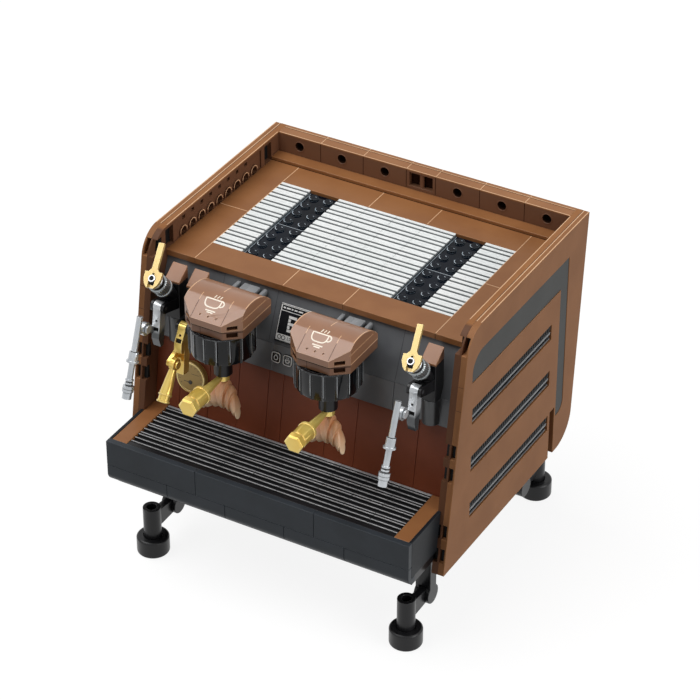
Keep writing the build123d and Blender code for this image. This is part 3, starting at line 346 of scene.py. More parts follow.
def sheetFaces(rows, columns, closeRows=False, closeColumns=False):
    # Four corners of each cell of a grid of points, joined round where a way is closed
    index = np.arange(rows * columns).reshape(rows, columns)
    if closeRows:
        index = np.vstack([index, index[:1]])
    if closeColumns:
        index = np.hstack([index, index[:, :1]])
    corners = [index[:-1, :-1], index[:-1, 1:], index[1:, 1:], index[1:, :-1]]
    return np.stack(corners, -1).reshape(-1, 4)


def tubeFaces(rows, columns):
    # A grid closed round its columns, with one face over its first ring and one over its last
    last = (rows - 1) * columns
    ends = [list(range(columns - 1, -1, -1)), list(range(last, last + columns))]
    return sheetFaces(rows, columns, closeColumns=True).tolist() + ends


def turned(profile, sides, ridge=None):
    # Radius and height along a profile carried once round the z axis; ridge adds to the radius
    # by angle and place
    angle = np.linspace(0, 2 * np.pi, sides, endpoint=False)[None, :]
    radius, height = np.array(profile, float).T[:, :, None]
    if ridge is not None:
        radius = radius + ridge(angle, np.arange(len(height))[:, None])
    grid = np.stack([radius * np.cos(angle), radius * np.sin(angle), height + 0 * angle], -1)
    return grid, sheetFaces(*grid.shape[:2], closeColumns=True)


def discProfile(radius, low, high):
    return [(0, low), (radius, low), (radius, high), (0, high)]


def ringProfile(inner, outer, low, high, ease):
    # Round a ring's section, with its two outer corners cut by the ease
    return [(inner, low), (outer - ease, low), (outer, low + ease), (outer, high - ease),
            (outer - ease, high), (inner, high), (inner, low)]


def moved(part, offset):
    return part[0] + np.array(offset), part[1]


def flipped(part):
    # The part mirrored from right to left
    return part[0] * np.array([-1, 1, 1]), part[1]


def spun(part, angle, origin):
    # The part turned about the upright axis and moved to an origin
    c, s = math.cos(angle), math.sin(angle)
    return part[0] @ np.array([[c, s, 0], [-s, c, 0], [0, 0, 1]]) + np.array(origin), part[1]


def aimed(part, origin, along):
    # The part turned so that its z axis runs along a direction, and set at an origin
    z = np.array(along, float) / np.linalg.norm(along)
    x = np.cross((0, 1, 0), z) if abs(z[1]) < 0.9 else np.cross((0, 0, 1), z)
    x /= np.linalg.norm(x)
    return part[0] @ np.stack([x, np.cross(z, x), z]) + np.array(origin), part[1]


def aimedAll(parts, origin, along):
    return [aimed(part, origin, along) for part in parts]


def leaning(face, z):
    # Depth at a height on a face that leans with the front, from its depth at the deck's top
    return face - (deckTop - z) * frontLean


def stroke(path, normal, width, lift=0.05, sink=0.15, loop=False):
    # A flat strip: each point of the path moved sideways by half the width, and up or down the
    # surface's normal
    path, normal = np.array(path, float), np.array(normal, float)
    if loop:
        tangent = np.roll(path, -1, 0) - np.roll(path, 1, 0)
    else:
        tangent = np.gradient(path, axis=0)
    side = np.cross(tangent, normal)
    side /= np.linalg.norm(side, axis=1, keepdims=True) + 1e-9
    half = width / 2
    corners = ((half, lift), (-half, lift), (-half, -sink), (half, -sink))
    grid = np.stack([path + side * a + normal * b for a, b in corners], 1)
    if loop:
        return grid, sheetFaces(*grid.shape[:2], closeRows=True, closeColumns=True)
    return grid, tubeFaces(*grid.shape[:2])


def lineOn(start, end, normal, width, lift=0.03, sink=0.12):
    # A straight strip between two points of a flat face
    return stroke([start, end], normal, width, lift, sink)


def alongDepth(x, front, rear, z, width):
    # A straight strip on a level face, between two distances behind the deck's front edge
    return lineOn((x, deckFront + front, z), (x, deckFront + rear, z), up, width)


def alongWidth(behind, start, end, z, width):
    # A straight strip across a level face, at a distance behind the deck's front edge
    return lineOn((start, deckFront + behind, z), (end, deckFront + behind, z), up, width)


def looped(x, y, place, width):
    # A closed strip through points that place sets on a surface
    return stroke(*place(x, y), width, lift=0.04, loop=True)


def softBox(x0, x1, y0, y1, z0, z1, ease=0.1):
    # Four eight-cornered rings, the lowest and highest drawn in by the ease, closed at both ends
    draw = np.array([ease, 0, 0, ease])[:, None]
    height = np.array([z0, z0 + ease, z1 - ease, z1])[:, None]
    cutX, cutY = np.array([0, 0, 1, 1, 0, 0, 1, 1]), np.array([1, 1, 0, 0, 1, 1, 0, 0])
    east, north = np.array([1, 1, 1, 0, 0, 0, 0, 1]), np.array([0, 1, 1, 1, 1, 0, 0, 0])
    x = np.where(east, x1, x0) + np.where(east, -1, 1) * (ease * cutX + draw)
    y = np.where(north, y1, y0) + np.where(north, -1, 1) * (ease * cutY + draw)
    grid = np.stack([x, y, height + 0 * x], -1)
    return grid, tubeFaces(*grid.shape[:2])


# Group heads: ribbed smoked bowls, printed covers, pastry-shaped spouts

headAt = {"left": (-29.0, deckFront - 32.4), "right": (27.0, deckFront - 32.4)}
bowl = {"radius": 15.3, "wall": 1.7, "low": 129.0, "high": 145.0, "foot": 3.6, "lip": 0.3,
        "fillet": 2, "hole": 4.5, "panels": 16, "ridge": 0.6, "ridgeWidth": 0.06, "samples": 8,
        "glint": 0.24, "glintEnds": (133.4, 144.5)}


def perHead(makeParts):
    # The parts of both group heads in one list
    return [part for place in headAt.values() for part in makeParts(place)]


def ribbedBowl(place):
    # Down the outer wall, under the floor, through the hole and back up inside; each panel's
    # edge is a narrow ridge, a bell curve over the angle
    r, low, high, hole = (bowl[key] for key in ("radius", "low", "high", "hole"))
    wall, foot, lip, fillet = (bowl[key] for key in ("wall", "foot", "lip", "fillet"))
    inner, floor = r - wall, low + wall
    profile = [(inner, high), (r - lip, high), (r, high - lip), (r, low + foot + 1),
               (r - 0.5, low + foot * 0.55), (r - foot * 0.75, low + 0.4), (r - foot, low),
               (hole, low), (hole, floor), (inner - fillet, floor), (inner, floor + fillet),
               (inner, high)]
    strength = np.array([0, 0.8, 1, 1, 1, 0.8, 0.3, 0, 0, 0, 0, 0])

    def ridge(angle, row):
        share = (angle * bowl["panels"] / (2 * np.pi)) % 1.0
        away = np.minimum(share, 1 - share) / bowl["ridgeWidth"]
        return bowl["ridge"] * np.exp(-away ** 2) * strength[row]

    return [moved(turned(profile, bowl["panels"] * bowl["samples"], ridge), (*place, 0))]


def bowlGlints(place):
    # A thin bright strip down the crest of each ridge
    parts, reach = [], bowl["radius"] + bowl["ridge"]
    for turn in np.arange(bowl["panels"]) * 2 * np.pi / bowl["panels"]:
        out = np.array([math.cos(turn), math.sin(turn), 0])
        low, high = (np.array([*place, z]) + out * reach for z in bowl["glintEnds"])
        parts.append(lineOn(low, high, out, bowl["glint"]))
    return parts


dress("glassBowls", perHead(ribbedBowl), "glass_bowls", "smoked_clear", True)
dress("bowlGlints", perHead(bowlGlints), "glass_bowls", "glassGlint")

cover = {"front": 13.5, "edge": 153.0, "run": 9.9, "rise": 6.3, "peak": 1.75, "centre": 139.04,
         "radius": 20.96, "half": 15.6, "nose": 8.2, "cheek": 6.6, "inset": 0.9}


def onCover(headY, x, y):
    # Points of a cover at (x, y) and their normals: the straight slope behind its front edge,
    # then the arch
    ahead = y - headY
    crest = cover["run"] - cover["front"]
    slope = cover["edge"] + (ahead + cover["front"]) * cover["rise"] / cover["run"]
    off = np.maximum(ahead, crest) - cover["peak"]
    arch = cover["centre"] + np.sqrt(cover["radius"] ** 2 - off ** 2)
    lean = math.hypot(cover["run"], cover["rise"])
    normalY = np.where(ahead < crest, -cover["rise"] / lean, off / cover["radius"])
    normal = np.stack([0 * x, normalY, np.sqrt(1 - normalY ** 2)], -1)
    return np.stack([x, y, np.where(ahead < crest, slope, arch)], -1), normal


cupPrint = {"x": -1.1, "y": -5.45, "line": 0.66, "half": 4.0, "deep": 3.6, "power": 0.6,
            "handle": (4.1, 0.6, 1.6, 1.25), "bend": 1.9, "saucer": 2.6, "saucerShift": 0.7,
            "saucerLines": ((1.35, 1.0), (2.1, 0.6)), "wisps": (-0.75, 0.8, 2.3), "wisp": 1.75,
            "wispGap": 0.95, "wispSlant": 0.35, "wispWave": 0.1}


def cupStrokes(place):
    # A plain cup: a bowl line closed across its brim, a round handle, two saucer lines and three
    # slanting wisps
    x0, y0, line = place[0] + cupPrint["x"], place[1] + cupPrint["y"], cupPrint["line"]
    half, deep, power = cupPrint["half"], cupPrint["deep"], cupPrint["power"]
    drawn = lambda x, y: onCover(place[1], x0 + x, y0 + y)
    turn = np.linspace(-0.5 * np.pi, 0.5 * np.pi, 17)
    brim = np.linspace(half, -half, 11)[1:-1]
    bowlX = np.concatenate([half * np.sign(turn) * np.abs(np.sin(turn)) ** power, brim])
    bowlY = np.concatenate([deep * (0.5 - np.abs(np.cos(turn)) ** power), 0 * brim + deep / 2])
    parts = [looped(bowlX, bowlY, drawn, line)]
    x, y, wide, tall = cupPrint["handle"]
    bend = np.linspace(-cupPrint["bend"], cupPrint["bend"], 17)
    parts.append(stroke(*drawn(x + wide * np.cos(bend), y + tall * np.sin(bend)), line))
    for drop, share in cupPrint["saucerLines"]:
        along = np.linspace(-1, 1, 9) * cupPrint["saucer"] * share + cupPrint["saucerShift"]
        parts.append(stroke(*drawn(along, 0 * along - deep / 2 - drop), line * 0.9))
    rise = np.linspace(0, cupPrint["wisp"], 7)
    sway = cupPrint["wispSlant"] * rise + cupPrint["wispWave"] * np.sin(3 * rise)
    for wisp in cupPrint["wisps"]:
        path = drawn(wisp + sway, deep / 2 + cupPrint["wispGap"] + rise)
        parts.append(stroke(*path, line * 0.8))
    return parts


# Dark joint rows and pale rows of painted highlight: place across, start and end behind the head's
# middle, width, steps.
# Side rows: height, start, end, lift
coverLines = {"dark": ((-8.2, -13.2, -5.6, 0.24, 12), (7.8, -13.2, -5.6, 0.24, 12)),
              "pale": ((0, 2.7, 8.8, 0.36, 9), (-8.2, -5.4, -1.4, 0.3, 9),
                       (7.8, -5.4, -1.4, 0.3, 9), (-15.2, -3.4, 16.8, 0.36, 25),
                       (15.2, -3.4, 16.8, 0.36, 25)),
              "sides": ((154.74, -6.0, 13.6, -0.2), (149.85, -6.4, 17.6, 0.03)),
              "sideWide": 0.42, "sideSink": 0.5, "under": 148.9, "underWide": 0.55}


def downCover(place, x, front, rear, width, steps):
    # A strip over a cover from front to rear, at one distance from its middle
    y = np.linspace(front, rear, steps) + place[1]
    return stroke(*onCover(place[1], place[0] + x + 0 * y, y), width, lift=0.02)


def coverSeams(place):
    # Thin dark joints down the slope, where the cover's three tiles meet, and a dark line of
    # painted shade under the cover's edge
    parts = [downCover(place, *row) for row in coverLines["dark"]]
    plan = np.array([(-cover["half"], -cover["cheek"]),
                     (-cover["nose"], cover["inset"] - cover["front"])])
    plan = np.vstack([plan, plan[::-1] * np.array([-1, 1])]) + np.array(place)
    z = coverLines["under"]
    for start, end in zip(plan[:-1], plan[1:]):
        out = np.array([(end - start)[1], -(end - start)[0], 0])
        out /= np.linalg.norm(out)
        parts.append(lineOn((*start, z), (*end, z), out, coverLines["underWide"]))
    return parts


def coverGlints(place):
    # Painted highlights as pale lines: the joint over the crest, joints behind the slope, the
    # arch's side edges, and a groove and a seam along each side
    parts = [downCover(place, *row) for row in coverLines["pale"]]
    for side in (-1, 1):
        x = place[0] + side * cover["half"]
        for z, front, rear, lift in coverLines["sides"]:
            ends = (x, place[1] + front, z), (x, place[1] + rear, z)
            parts.append(lineOn(*ends, (side, 0, 0), coverLines["sideWide"], lift,
                                coverLines["sideSink"]))
    return parts


cornerWindow = {"middle": (11.9, -10.05), "turn": math.atan2(6.9, 7.4), "half": 2.5,
                "depth": (1.0, 2.4), "heights": ((150.2, 152.6), (146.0, 148.8))}


def windowShadeBoxes(place):
    # Dark boxes of painted shade behind the openings in the chamfered corners
    parts, half = [], cornerWindow["half"]
    for heights in cornerWindow["heights"]:
        box = softBox(-half, half, *cornerWindow["depth"], *heights)
        right = spun(box, cornerWindow["turn"], (*cornerWindow["middle"], 0))
        parts += [moved(part, (*place, 0)) for part in (right, flipped(right))]
    return parts


ringJoint = {"x": -3.6, "y": -12.6, "heights": (145.3, 149.5), "width": 0.22}


def ringJoints(place):
    # A short upright joint on the front of a ring
    x, y = place[0] + ringJoint["x"], place[1] + ringJoint["y"]
    return [lineOn(*((x, y, z) for z in ringJoint["heights"]), (0, -1, 0), ringJoint["width"])]


dress("coverCups", perHead(cupStrokes), "head_covers", "creamInk")
dress("coverSeams", perHead(coverSeams), "head_covers", "darkLine")
dress("coverGlints", perHead(coverGlints), "head_covers", "paleLine")
dress("coverWindows", perHead(windowShadeBoxes), "head_rings", "pocketBrown")
dress("ringJoints", perHead(ringJoints), "head_rings", "darkLine")

# Joins the two middle bars of each bracket, which leaves two notches, near black below a height as
# painted shade
bracketFill = {"across": (-32.0, 24.0), "half": 1.08, "heights": (143.4, 146.46),
               "depth": (deckFront - 12.4, deckFront - 0.45)}
fills = [softBox(x - bracketFill["half"], x + bracketFill["half"], *bracketFill["depth"],
                 *bracketFill["heights"]) for x in bracketFill["across"]]
dress("bracketFills", fills, "head_brackets", "bracketGrey")

spout = {"top": 114.2, "spread": 9.8, "fall": 16.2, "belly": 16.6, "height": 18.0, "thick": 4.3,
         "tip": 2.0, "lean": 3.0, "droop": 0.9, "rolls": 2.9, "step": 0.26, "slant": 0.34,
         "blunt": 0.1, "rows": 181, "sides": 44}


def pastryHorns(place):
    # Upright ovals from tip to tip under a falling back line; each roll grows outwards and steps
    # in to the next, slanting with the height, and the last closes as a quarter round
    share = np.linspace(-1, 1, spout["rows"])[:, None]
    size = np.abs(share)
    high = spout["top"] - spout["fall"] * (1 - np.maximum(1 - size ** 2.2, 0) ** 0.7)
    deepen = (spout["height"] - spout["belly"]) * size ** 2 + spout["droop"] * size ** 8
    low = spout["top"] - spout["belly"] - deepen
    depth = spout["tip"] + (spout["thick"] - spout["tip"]) * np.sqrt(1 - size ** 2)
    angle = np.linspace(0, 2 * np.pi, spout["sides"], endpoint=False)[None, :]
    roll = (size * spout["rolls"] - spout["slant"] * np.sin(angle) + 0.5) % 1.0
    closing = np.clip((size - 1 + spout["blunt"]) / spout["blunt"], 0, 1)
    swell = 1 - spout["step"] * (1 - roll) ** 1.6
    swell = swell * np.sqrt(np.maximum(1 - closing ** 2, 0.0004))
    x = place[0] + spout["spread"] * share + 0 * angle
    y = place[1] - spout["lean"] * share ** 2 + depth * swell * np.cos(angle)
    reach = np.maximum((high - low) / 2, spout["tip"])
    z = np.minimum((high + low) / 2 + reach * swell * np.sin(angle), spout["top"])
    grid = np.stack([x, y, z], -1)
    return grid, tubeFaces(*grid.shape[:2])


for side, place in headAt.items():
    dress("spout" + side.capitalize(), [pastryHorns(place)], "spout_" + side, "copper", True)
print("group heads dressed")


# Steam valves: knurled knobs with bright rims, collars and pin rings on the levers

sides = {"left": -1, "right": 1}
valve = {"across": 68.0, "y": deckFront - 30.3, "z": 155.3, "tilt": math.radians(48),
         "behind": 2.0, "collar": 1.4, "knob": 11.2, "band": 2.8, "body": 4.6, "flutes": 26,
         "flute": 0.1, "drill": 1.65, "drillDeep": 5.8, "bandRing": (1.0, 4.0), "well": 2.75,
         "bore": 1.27, "collarRing": (2.9, 4.45), "pinRing": (1.25, 1.74)}
valveAxis = (0, -math.cos(valve["tilt"]), math.sin(valve["tilt"]))


def knobBarrel(top):
    # A turned barrel whose radius waves with the angle, stepped in at both ends and closed there
    high, low, r = top - valve["band"], top - valve["knob"], valve["body"]
    floor = low + valve["drillDeep"]
    profile = [(0, high), (r - 0.9, high), (r - 0.35, high - 0.3), (r, high - 0.8),
               (r, low + 2.6), (r - 0.4, low + 2.3), (r - 0.4, low + 1.9), (r + 0.08, low + 1.6),
               (r + 0.08, low + 0.4), (r - 0.3, low), (valve["drill"], low),
               (valve["drill"], floor), (0, floor)]
    strength = np.array([0, 0, 0.6, 1, 1, 0.4, 0, 0, 0, 0, 0, 0, 0])
    wave = lambda angle, row: valve["flute"] * np.cos(valve["flutes"] * angle) * strength[row]
    return turned(profile, valve["flutes"] * 6, wave)


back = -valve["behind"]
top = back - valve["collar"]
band = ringProfile(*valve["bandRing"], top - valve["band"] - 0.05, top - 0.02, 0.2)
# Painted shade: a dark band in the gap between collar and barrel, and dark discs in the lever's
# well and the pin's bore
leverDarks = [turned(band, 48), turned(discProfile(valve["well"], back - 0.04, back + 0.2), 40),
              turned(discProfile(valve["bore"], -0.3, 0.14), 28)]
valveTrim = [turned(ringProfile(*valve["collarRing"], top, back - 0.02, 0.3), 56),
             turned(ringProfile(*valve["pinRing"], back + 0.1, 0.24, 0.12), 36)]
for side, sign in sides.items():
    name, place = side.capitalize(), (sign * valve["across"], valve["y"], valve["z"])
    barrel, darks, trim = (aimedAll(parts, place, valveAxis)
                           for parts in ([knobBarrel(top)], leverDarks, valveTrim))
    dress("knob" + name, barrel, "knob_" + side, "knobSteel", True)
    dark = dress("leverDarks" + name, darks, "lever_" + side, "liner")
    bright = dress("valveTrim" + name, trim, "lever_" + side, "silver")
print("steam valves dressed")


# Hanging arms: painted shade in each arm's hole and slot, bands round the nozzle, dark rings of
# painted shade round the wands

armMarks = {"holeShare": 0.33, "slotShare": 0.54, "hole": 0.62, "slot": (1.42, 0.92),
            "low": 0.86, "high": 1.5}
# Each arm's cross pin, and its run from there to the hand in y and z
hanging = {
    "steam_arm_left": ((-68.0, deckFront - 24.8, 136.7), (-3.3, -20.0)),
    "steam_arm_right": ((68.0, deckFront - 24.8, 136.7), (-3.3, -20.0)),
    "water_arm": ((-56.0, deckFront - 22.6, 127.7), (-6.6, -10.4)),
}
nozzleLook = {"pivot": (-56.0, deckFront - 32.2, 112.7), "lean": math.radians(36),
              "rings": ((2.7, 3.35, -15.3, -14.4), (2.35, 3.2, -18.7, -17.6)), "ease": 0.25}


def armHoleShades(pin, run):
    # Painted shade in the arm's hole and slot: a round and a square dark plug set a little under
    # the arm's front face, which looks square to its run
    forth, drop = run
    length = math.hypot(forth, drop)
    out = (0, drop / length, -forth / length)
    at = lambda share: (pin[0], pin[1] + share * forth, pin[2] + share * drop)
    low, high, (wide, tall) = armMarks["low"], armMarks["high"], armMarks["slot"]
    hole = turned(discProfile(armMarks["hole"], low, high), 20)
    slot = softBox(-wide, wide, -tall, tall, low, high, 0.03)
    return [aimed(hole, at(armMarks["holeShare"]), out),
            aimed(slot, at(armMarks["slotShare"]), out)]


for node, (pin, run) in hanging.items():
    dress(camel(node) + "Marks", armHoleShades(pin, run), node, "liner")
nozzleAxis = (0, math.sin(nozzleLook["lean"]), math.cos(nozzleLook["lean"]))
bands = [turned(ringProfile(*ring, nozzleLook["ease"]), 40) for ring in nozzleLook["rings"]]
dress("nozzleBands", aimedAll(bands, nozzleLook["pivot"], nozzleAxis), "water_nozzle", "gold")

# Dark rings round a wand, painted shade in the creases between its parts and a dark joint on the
# tip: outer radius, and the two distances from its top
wandLook = {"across": 68.0, "top": (deckFront - 43.51, 134.03), "lean": math.radians(20.8),
            "inner": 1.2, "ease": 0.03,
            "lines": ((1.57, 9.95, 10.3), (1.57, 15.38, 15.8), (1.6, 24.4, 25.2),
                      (1.6, 26.0, 26.8), (2.74, 28.2, 28.45), (2.27, 29.8, 30.15))}
wandDown = (0, -math.sin(wandLook["lean"]), -math.cos(wandLook["lean"]))
wandRings = [turned(ringProfile(wandLook["inner"], *line, wandLook["ease"]), 32)
             for line in wandLook["lines"]]
for side, sign in sides.items():
    lines = aimedAll(wandRings, (sign * wandLook["across"], *wandLook["top"]), wandDown)
    piece = dress("wandLines" + side.capitalize(), lines, "steam_wand_" + side, "toothGrey")
print("arms, wands and nozzle dressed")


# Front panel prints: a framed readout, two round-cornered buttons

panel = {"low": (deckFront - 8.42, 124.0), "high": (deckFront + 1.88, 147.9), "proud": 0.8,
         "ink": 0.06, "joints": (-48.0, -18.9, 18.9, 48.0), "jointSpan": (0.02, 0.98),
         "jointWide": 0.22}


def onPanel(x, share, proud=panel["proud"]):
    # Points on the leaning upper row at a share of its height, raised by the readout's thickness
    x, share = np.broadcast_arrays(np.array(x, float), np.array(share, float))
    low, high = np.array(panel["low"]), np.array(panel["high"])
    run = high - low
    out = np.array([-run[1], run[0]]) / np.linalg.norm(run)
    yz = low + share[..., None] * run + out * proud
    points = np.stack([x, yz[..., 0], yz[..., 1]], -1)
    return points, np.broadcast_to(np.array([0, out[0], out[1]]), points.shape)


def onInk(x, share):
    return onPanel(x, share, panel["proud"] + panel["ink"])


def framed(x0, x1, s0, s1, width, steps=8):
    # A closed line round a box on the readout, walked in order along its four sides
    walk = np.linspace(0, 1, steps, endpoint=False)
    still = 0 * walk
    x = np.concatenate([x0 + (x1 - x0) * walk, x1 + still, x1 + (x0 - x1) * walk, x0 + still])
    s = np.concatenate([s0 + still, s0 + (s1 - s0) * walk, s1 + still, s1 + (s0 - s1) * walk])
    return stroke(*onPanel(x, s), width, loop=True)


def barred(x0, x1, share, width, place=onPanel):
    return stroke(*place(np.linspace(x0, x1, 3), share), width)


# Bars and dots: two places across in mm, a share of the panel's height, width
readout = {"frames": ((-15.4, 15.4, 0.1, 0.765, 0.3), (-15.1, 8.0, 0.64, 0.745, 0.28)),
           "bars": ((-14.3, -13.1, 0.695, 0.7), (-12.6, -10.6, 0.695, 0.7),
                    (-10.0, -9.1, 0.695, 0.7), (-8.5, -6.9, 0.695, 0.7),
                    (-6.3, -3.9, 0.695, 0.7), (-15.4, -3.6, 0.157, 2.9),
                    (1.2, 2.3, 0.36, 1.0), (1.2, 2.3, 0.49, 1.0)),
           "dots": ((-9.4, -8.9, 0.175, 0.4), (-9.4, -8.9, 0.14, 0.4),
                    (-8.4, -7.9, 0.175, 0.4), (-8.4, -7.9, 0.14, 0.4)),
           "rings": (-13.6, -11.5, -6.2), "ring": (0.95, 0.036), "ringRow": 0.157,
           "ringWide": 0.3, "rows": (0.3, 0.425, 0.55), "digit": 4.2, "bar": 1.3, "clear": 0.035}
# Left edge of each numeral, the rows of its bars, and the column and row of its uprights
numerals = ((-10.6, (0, 1, 2), ((0, 0), (0, 1), (1, 0))),
            (-4.6, (0, 2), ((0, 0), (0, 1), (1, 0), (1, 1))),
            (4.0, (0, 1, 2), ((0, 1), (1, 0))))


def figure(left, across, uprights):
    # A blocky numeral from bars at three heights and uprights between them
    rows, bar, clear = readout["rows"], readout["bar"], readout["clear"]
    parts = [barred(left, left + readout["digit"], rows[row], bar) for row in across]
    for column, row in uprights:
        x = left + bar / 2 + (readout["digit"] - bar) * column
        heights = np.linspace(rows[row] + clear, rows[row + 1] - clear, 4)
        parts.append(stroke(*onPanel(x, heights), bar))
    return parts


prints = [framed(*row) for row in readout["frames"]]
prints += [barred(*row) for row in readout["bars"]]
prints += [part for row in numerals for part in figure(*row)]
dress("readoutPrint", prints, "display_tile", "whiteInk")
sweep = np.linspace(0, 2 * np.pi, 25)[:-1]
wide, tall = readout["ring"]
marks = [looped(x + wide * np.cos(sweep), readout["ringRow"] + tall * np.sin(sweep), onInk,
                readout["ringWide"]) for x in readout["rings"]]
marks += [barred(*row, onInk) for row in readout["dots"]]
dress("readoutMarks", marks, "display_tile", "toothGrey")
heights = np.linspace(*panel["jointSpan"], 4)
joints = [stroke(*onPanel(x, heights, 0.0), panel["jointWide"]) for x in panel["joints"]]
dress("panelJoints", joints, "upper_panel", "toothGrey")

button = {"x": (-14.1, -7.9), "z": 117.7, "half": (2.55, 2.85), "line": 0.4, "thick": 0.6,
          "face": deckFront - 3.9, "power": 0.45, "frame": 0.86,
          "rings": ((1.0, -0.65), (1.0, -0.12), (0.95, 0.0), (0.02, 0.02)),
          "drop": (0.9, 0.35, 1.25), "cup": (1.1, 0.2, 1.3), "brim": (1.2, 0.3),
          "wisps": (-0.5, 0.4), "wispSpan": (0.9, 1.6), "wispWide": 0.3}


def onButtons(x, z):
    # Points on the leaning lower row at a height, raised by a button's thickness
    x, z = np.broadcast_arrays(np.array(x, float), np.array(z, float))
    y = leaning(button["face"], z) - button["thick"]
    normal = np.array([0, -1, frontLean]) / math.hypot(1, frontLean)
    return np.stack([x, y, z], -1), np.broadcast_to(normal, x.shape + (3,))


def squircle(x, scale):
    # A rounded square outline about a button's middle
    wave = np.stack([np.cos(sweep), np.sin(sweep)])
    across, tall = np.sign(wave) * np.abs(wave) ** button["power"] * scale
    return x + button["half"][0] * across, button["z"] + button["half"][1] * tall


def buttonCap(x):
    # Rounded squares from the panel's face outwards, drawn in over the edge to the middle
    rings = []
    for scale, out in button["rings"]:
        points, normals = onButtons(*squircle(x, scale))
        rings.append(points + normals * out)
    grid = np.stack(rings)
    return grid, tubeFaces(*grid.shape[:2])


def buttonIcons():
    # A frame on each button, then a drop on the first, and a cup with two wisps on the second
    line, z = button["line"], button["z"]
    parts = [looped(*squircle(x, button["frame"]), onButtons, line) for x in button["x"]]
    first, second = button["x"]
    wide, narrow, tall = button["drop"]
    dropX = wide * np.cos(sweep) * (1 - narrow * np.sin(sweep))
    parts.append(looped(first + dropX, z + tall * np.sin(sweep), onButtons, line))
    half = np.linspace(np.pi, 2 * np.pi, 15)
    wide, raised, deep = button["cup"]
    cupLine = onButtons(second + wide * np.cos(half), z + raised + deep * np.sin(half))
    parts.append(stroke(*cupLine, line))
    wide, raised = button["brim"]
    parts.append(barred(second - wide, second + wide, z + raised, line, onButtons))
    rise = z + np.linspace(*button["wispSpan"], 4)
    parts += [stroke(*onButtons(second + x, rise), button["wispWide"]) for x in button["wisps"]]
    return parts


dress("buttonCaps", [buttonCap(x) for x in button["x"]], "button_tiles", "icon_print", True)
dress("buttonPrint", buttonIcons(), "button_tiles", "whiteInk")
print("front prints made")


# Deck, rail and walls: painted highlights along joints, dark joints, painted shade behind the
# openings and in the holes, rims of holes

# Joints, marked with painted highlight lines: place across, start and end behind the deck's front
# edge
deck = {"joints": ((-16, 0.3, 15.7), (-16, 80.3, 95.7), (16, 0.3, 15.7), (16, 80.3, 95.7),
                   (-64, 0.3, 95.7), (64, 0.3, 95.7)),
        "middle": 48, "ends": ((-64.4, -79.6), (64.4, 79.6)), "line": 0.3,
        "ledge": (95.92, -79.8, 79.8), "ledgeWide": 0.7}
deckHighlightLines = [alongDepth(*joint, deckTop, deck["line"]) for joint in deck["joints"]]
deckHighlightLines += [alongWidth(deck["middle"], *ends, deckTop, deck["line"]) for ends in deck["ends"]]
dress("deckJoints", deckHighlightLines, "deck_border_tiles", "paleLine")
# The dark joint between deck and ledge, darkened further as painted shade in the step
ledgeLine = alongWidth(*deck["ledge"], deckTop, deck["ledgeWide"])
dress("ledgeJoint", [ledgeLine], "deck_border_tiles", "pocketBrown")

rail = {"front": deckFront + 103.2, "back": deckFront + 111.2, "half": 79.6, "middle": 157.9,
        "seams": (-56, -32, -8, 8, 32, 56), "holes": (-68, -44, -20, 20, 44, 68),
        "seamDepth": (103.5, 110.9), "seamWide": 0.28, "seamHeights": (152.9, 162.7),
        "pale": (103.55, 109.1), "paleWide": 0.34, "dark": 108.75, "darkWide": 0.3,
        "tube": ((2.3, 0.1), (2.42, 0.1), (2.42, 7.9), (2.3, 7.9), (2.3, 0.1)),
        "rim": ((2.38, -0.3), (2.85, -0.3), (2.85, 0.1), (2.7, 0.22), (2.5, 0.22), (2.38, 0.1),
                (2.38, -0.3)),
        "recess": (-6.4, 6.4, 2.7, 3.2, 154.3, 161.5)}


def railSpan(behind, width):
    return alongWidth(behind, -rail["half"], rail["half"], rimTop, width)


# Painted highlight lines along the rail's joints and edges
railHighlightLines = [alongDepth(x, *rail["seamDepth"], rimTop, rail["seamWide"]) for x in rail["seams"]]
railHighlightLines += [railSpan(behind, rail["paleWide"]) for behind in rail["pale"]]
dress("railJoints", railHighlightLines, "rail_hole_bricks", "paleLine")
shades = [railSpan(rail["dark"], rail["darkWide"])]
shades += [lineOn(*((x, rail["front"], z) for z in rail["seamHeights"]), (0, -1, 0),
                  rail["darkWide"]) for x in rail["seams"]]
# Painted shade: dark tubes lining the rail's holes
holeTube = turned(rail["tube"], 28)
shades += [aimed(holeTube, (x, rail["front"], rail["middle"]), (0, 1, 0)) for x in rail["holes"]]
dress("railShades", shades, "rail_hole_bricks", "pocketBrown")
rims = [aimed(turned(rail["rim"], 36), (x, rail[face], rail["middle"]), (0, out, 0))
        for face, out in (("front", -1), ("back", 1)) for x in rail["holes"]]
dress("railHoleRims", rims, "rail_hole_bricks", "railShade")
# A dark box of painted shade in the rail's middle recess
recess = moved(softBox(*rail["recess"]), (0, rail["front"], 0))
dress("railRecess", [recess], "rail_centre_brick", "pocketBrown")

wall = {"front": deckFront - 11.3, "slots": ((46, 109, 3.2), (152.3, 159.3, 6.6)),
        "innerSlots": 81.25, "outerSlots": 84.35, "lining": (82.12, 82.7),
        "liningDepth": (deckFront + 0.4, deckFront + 95.8),
        "liningHeights": (deckTop + 0.1, rimTop - 2.1), "seams": (83.4, 86.2),
        "seamHeights": (125.0, 136.7), "seamWide": 0.2, "seamNormal": (0, -0.986, 0.164),
        "rimDepth": (2, 110.9), "rimSeam": 83.25, "rimSeamWide": 0.3,
        "rimGlints": (83.65, 86.0), "rimGlintWide": 0.4, "innerDepth": (2, 102.9),
        "innerGlint": 80.3, "innerWide": 0.34, "arch": 2.75, "archX": 80.0,
        "archLow": deckTop + 1.5, "arches": np.arange(16, 81, 8) + deckFront, "archWide": 0.32}


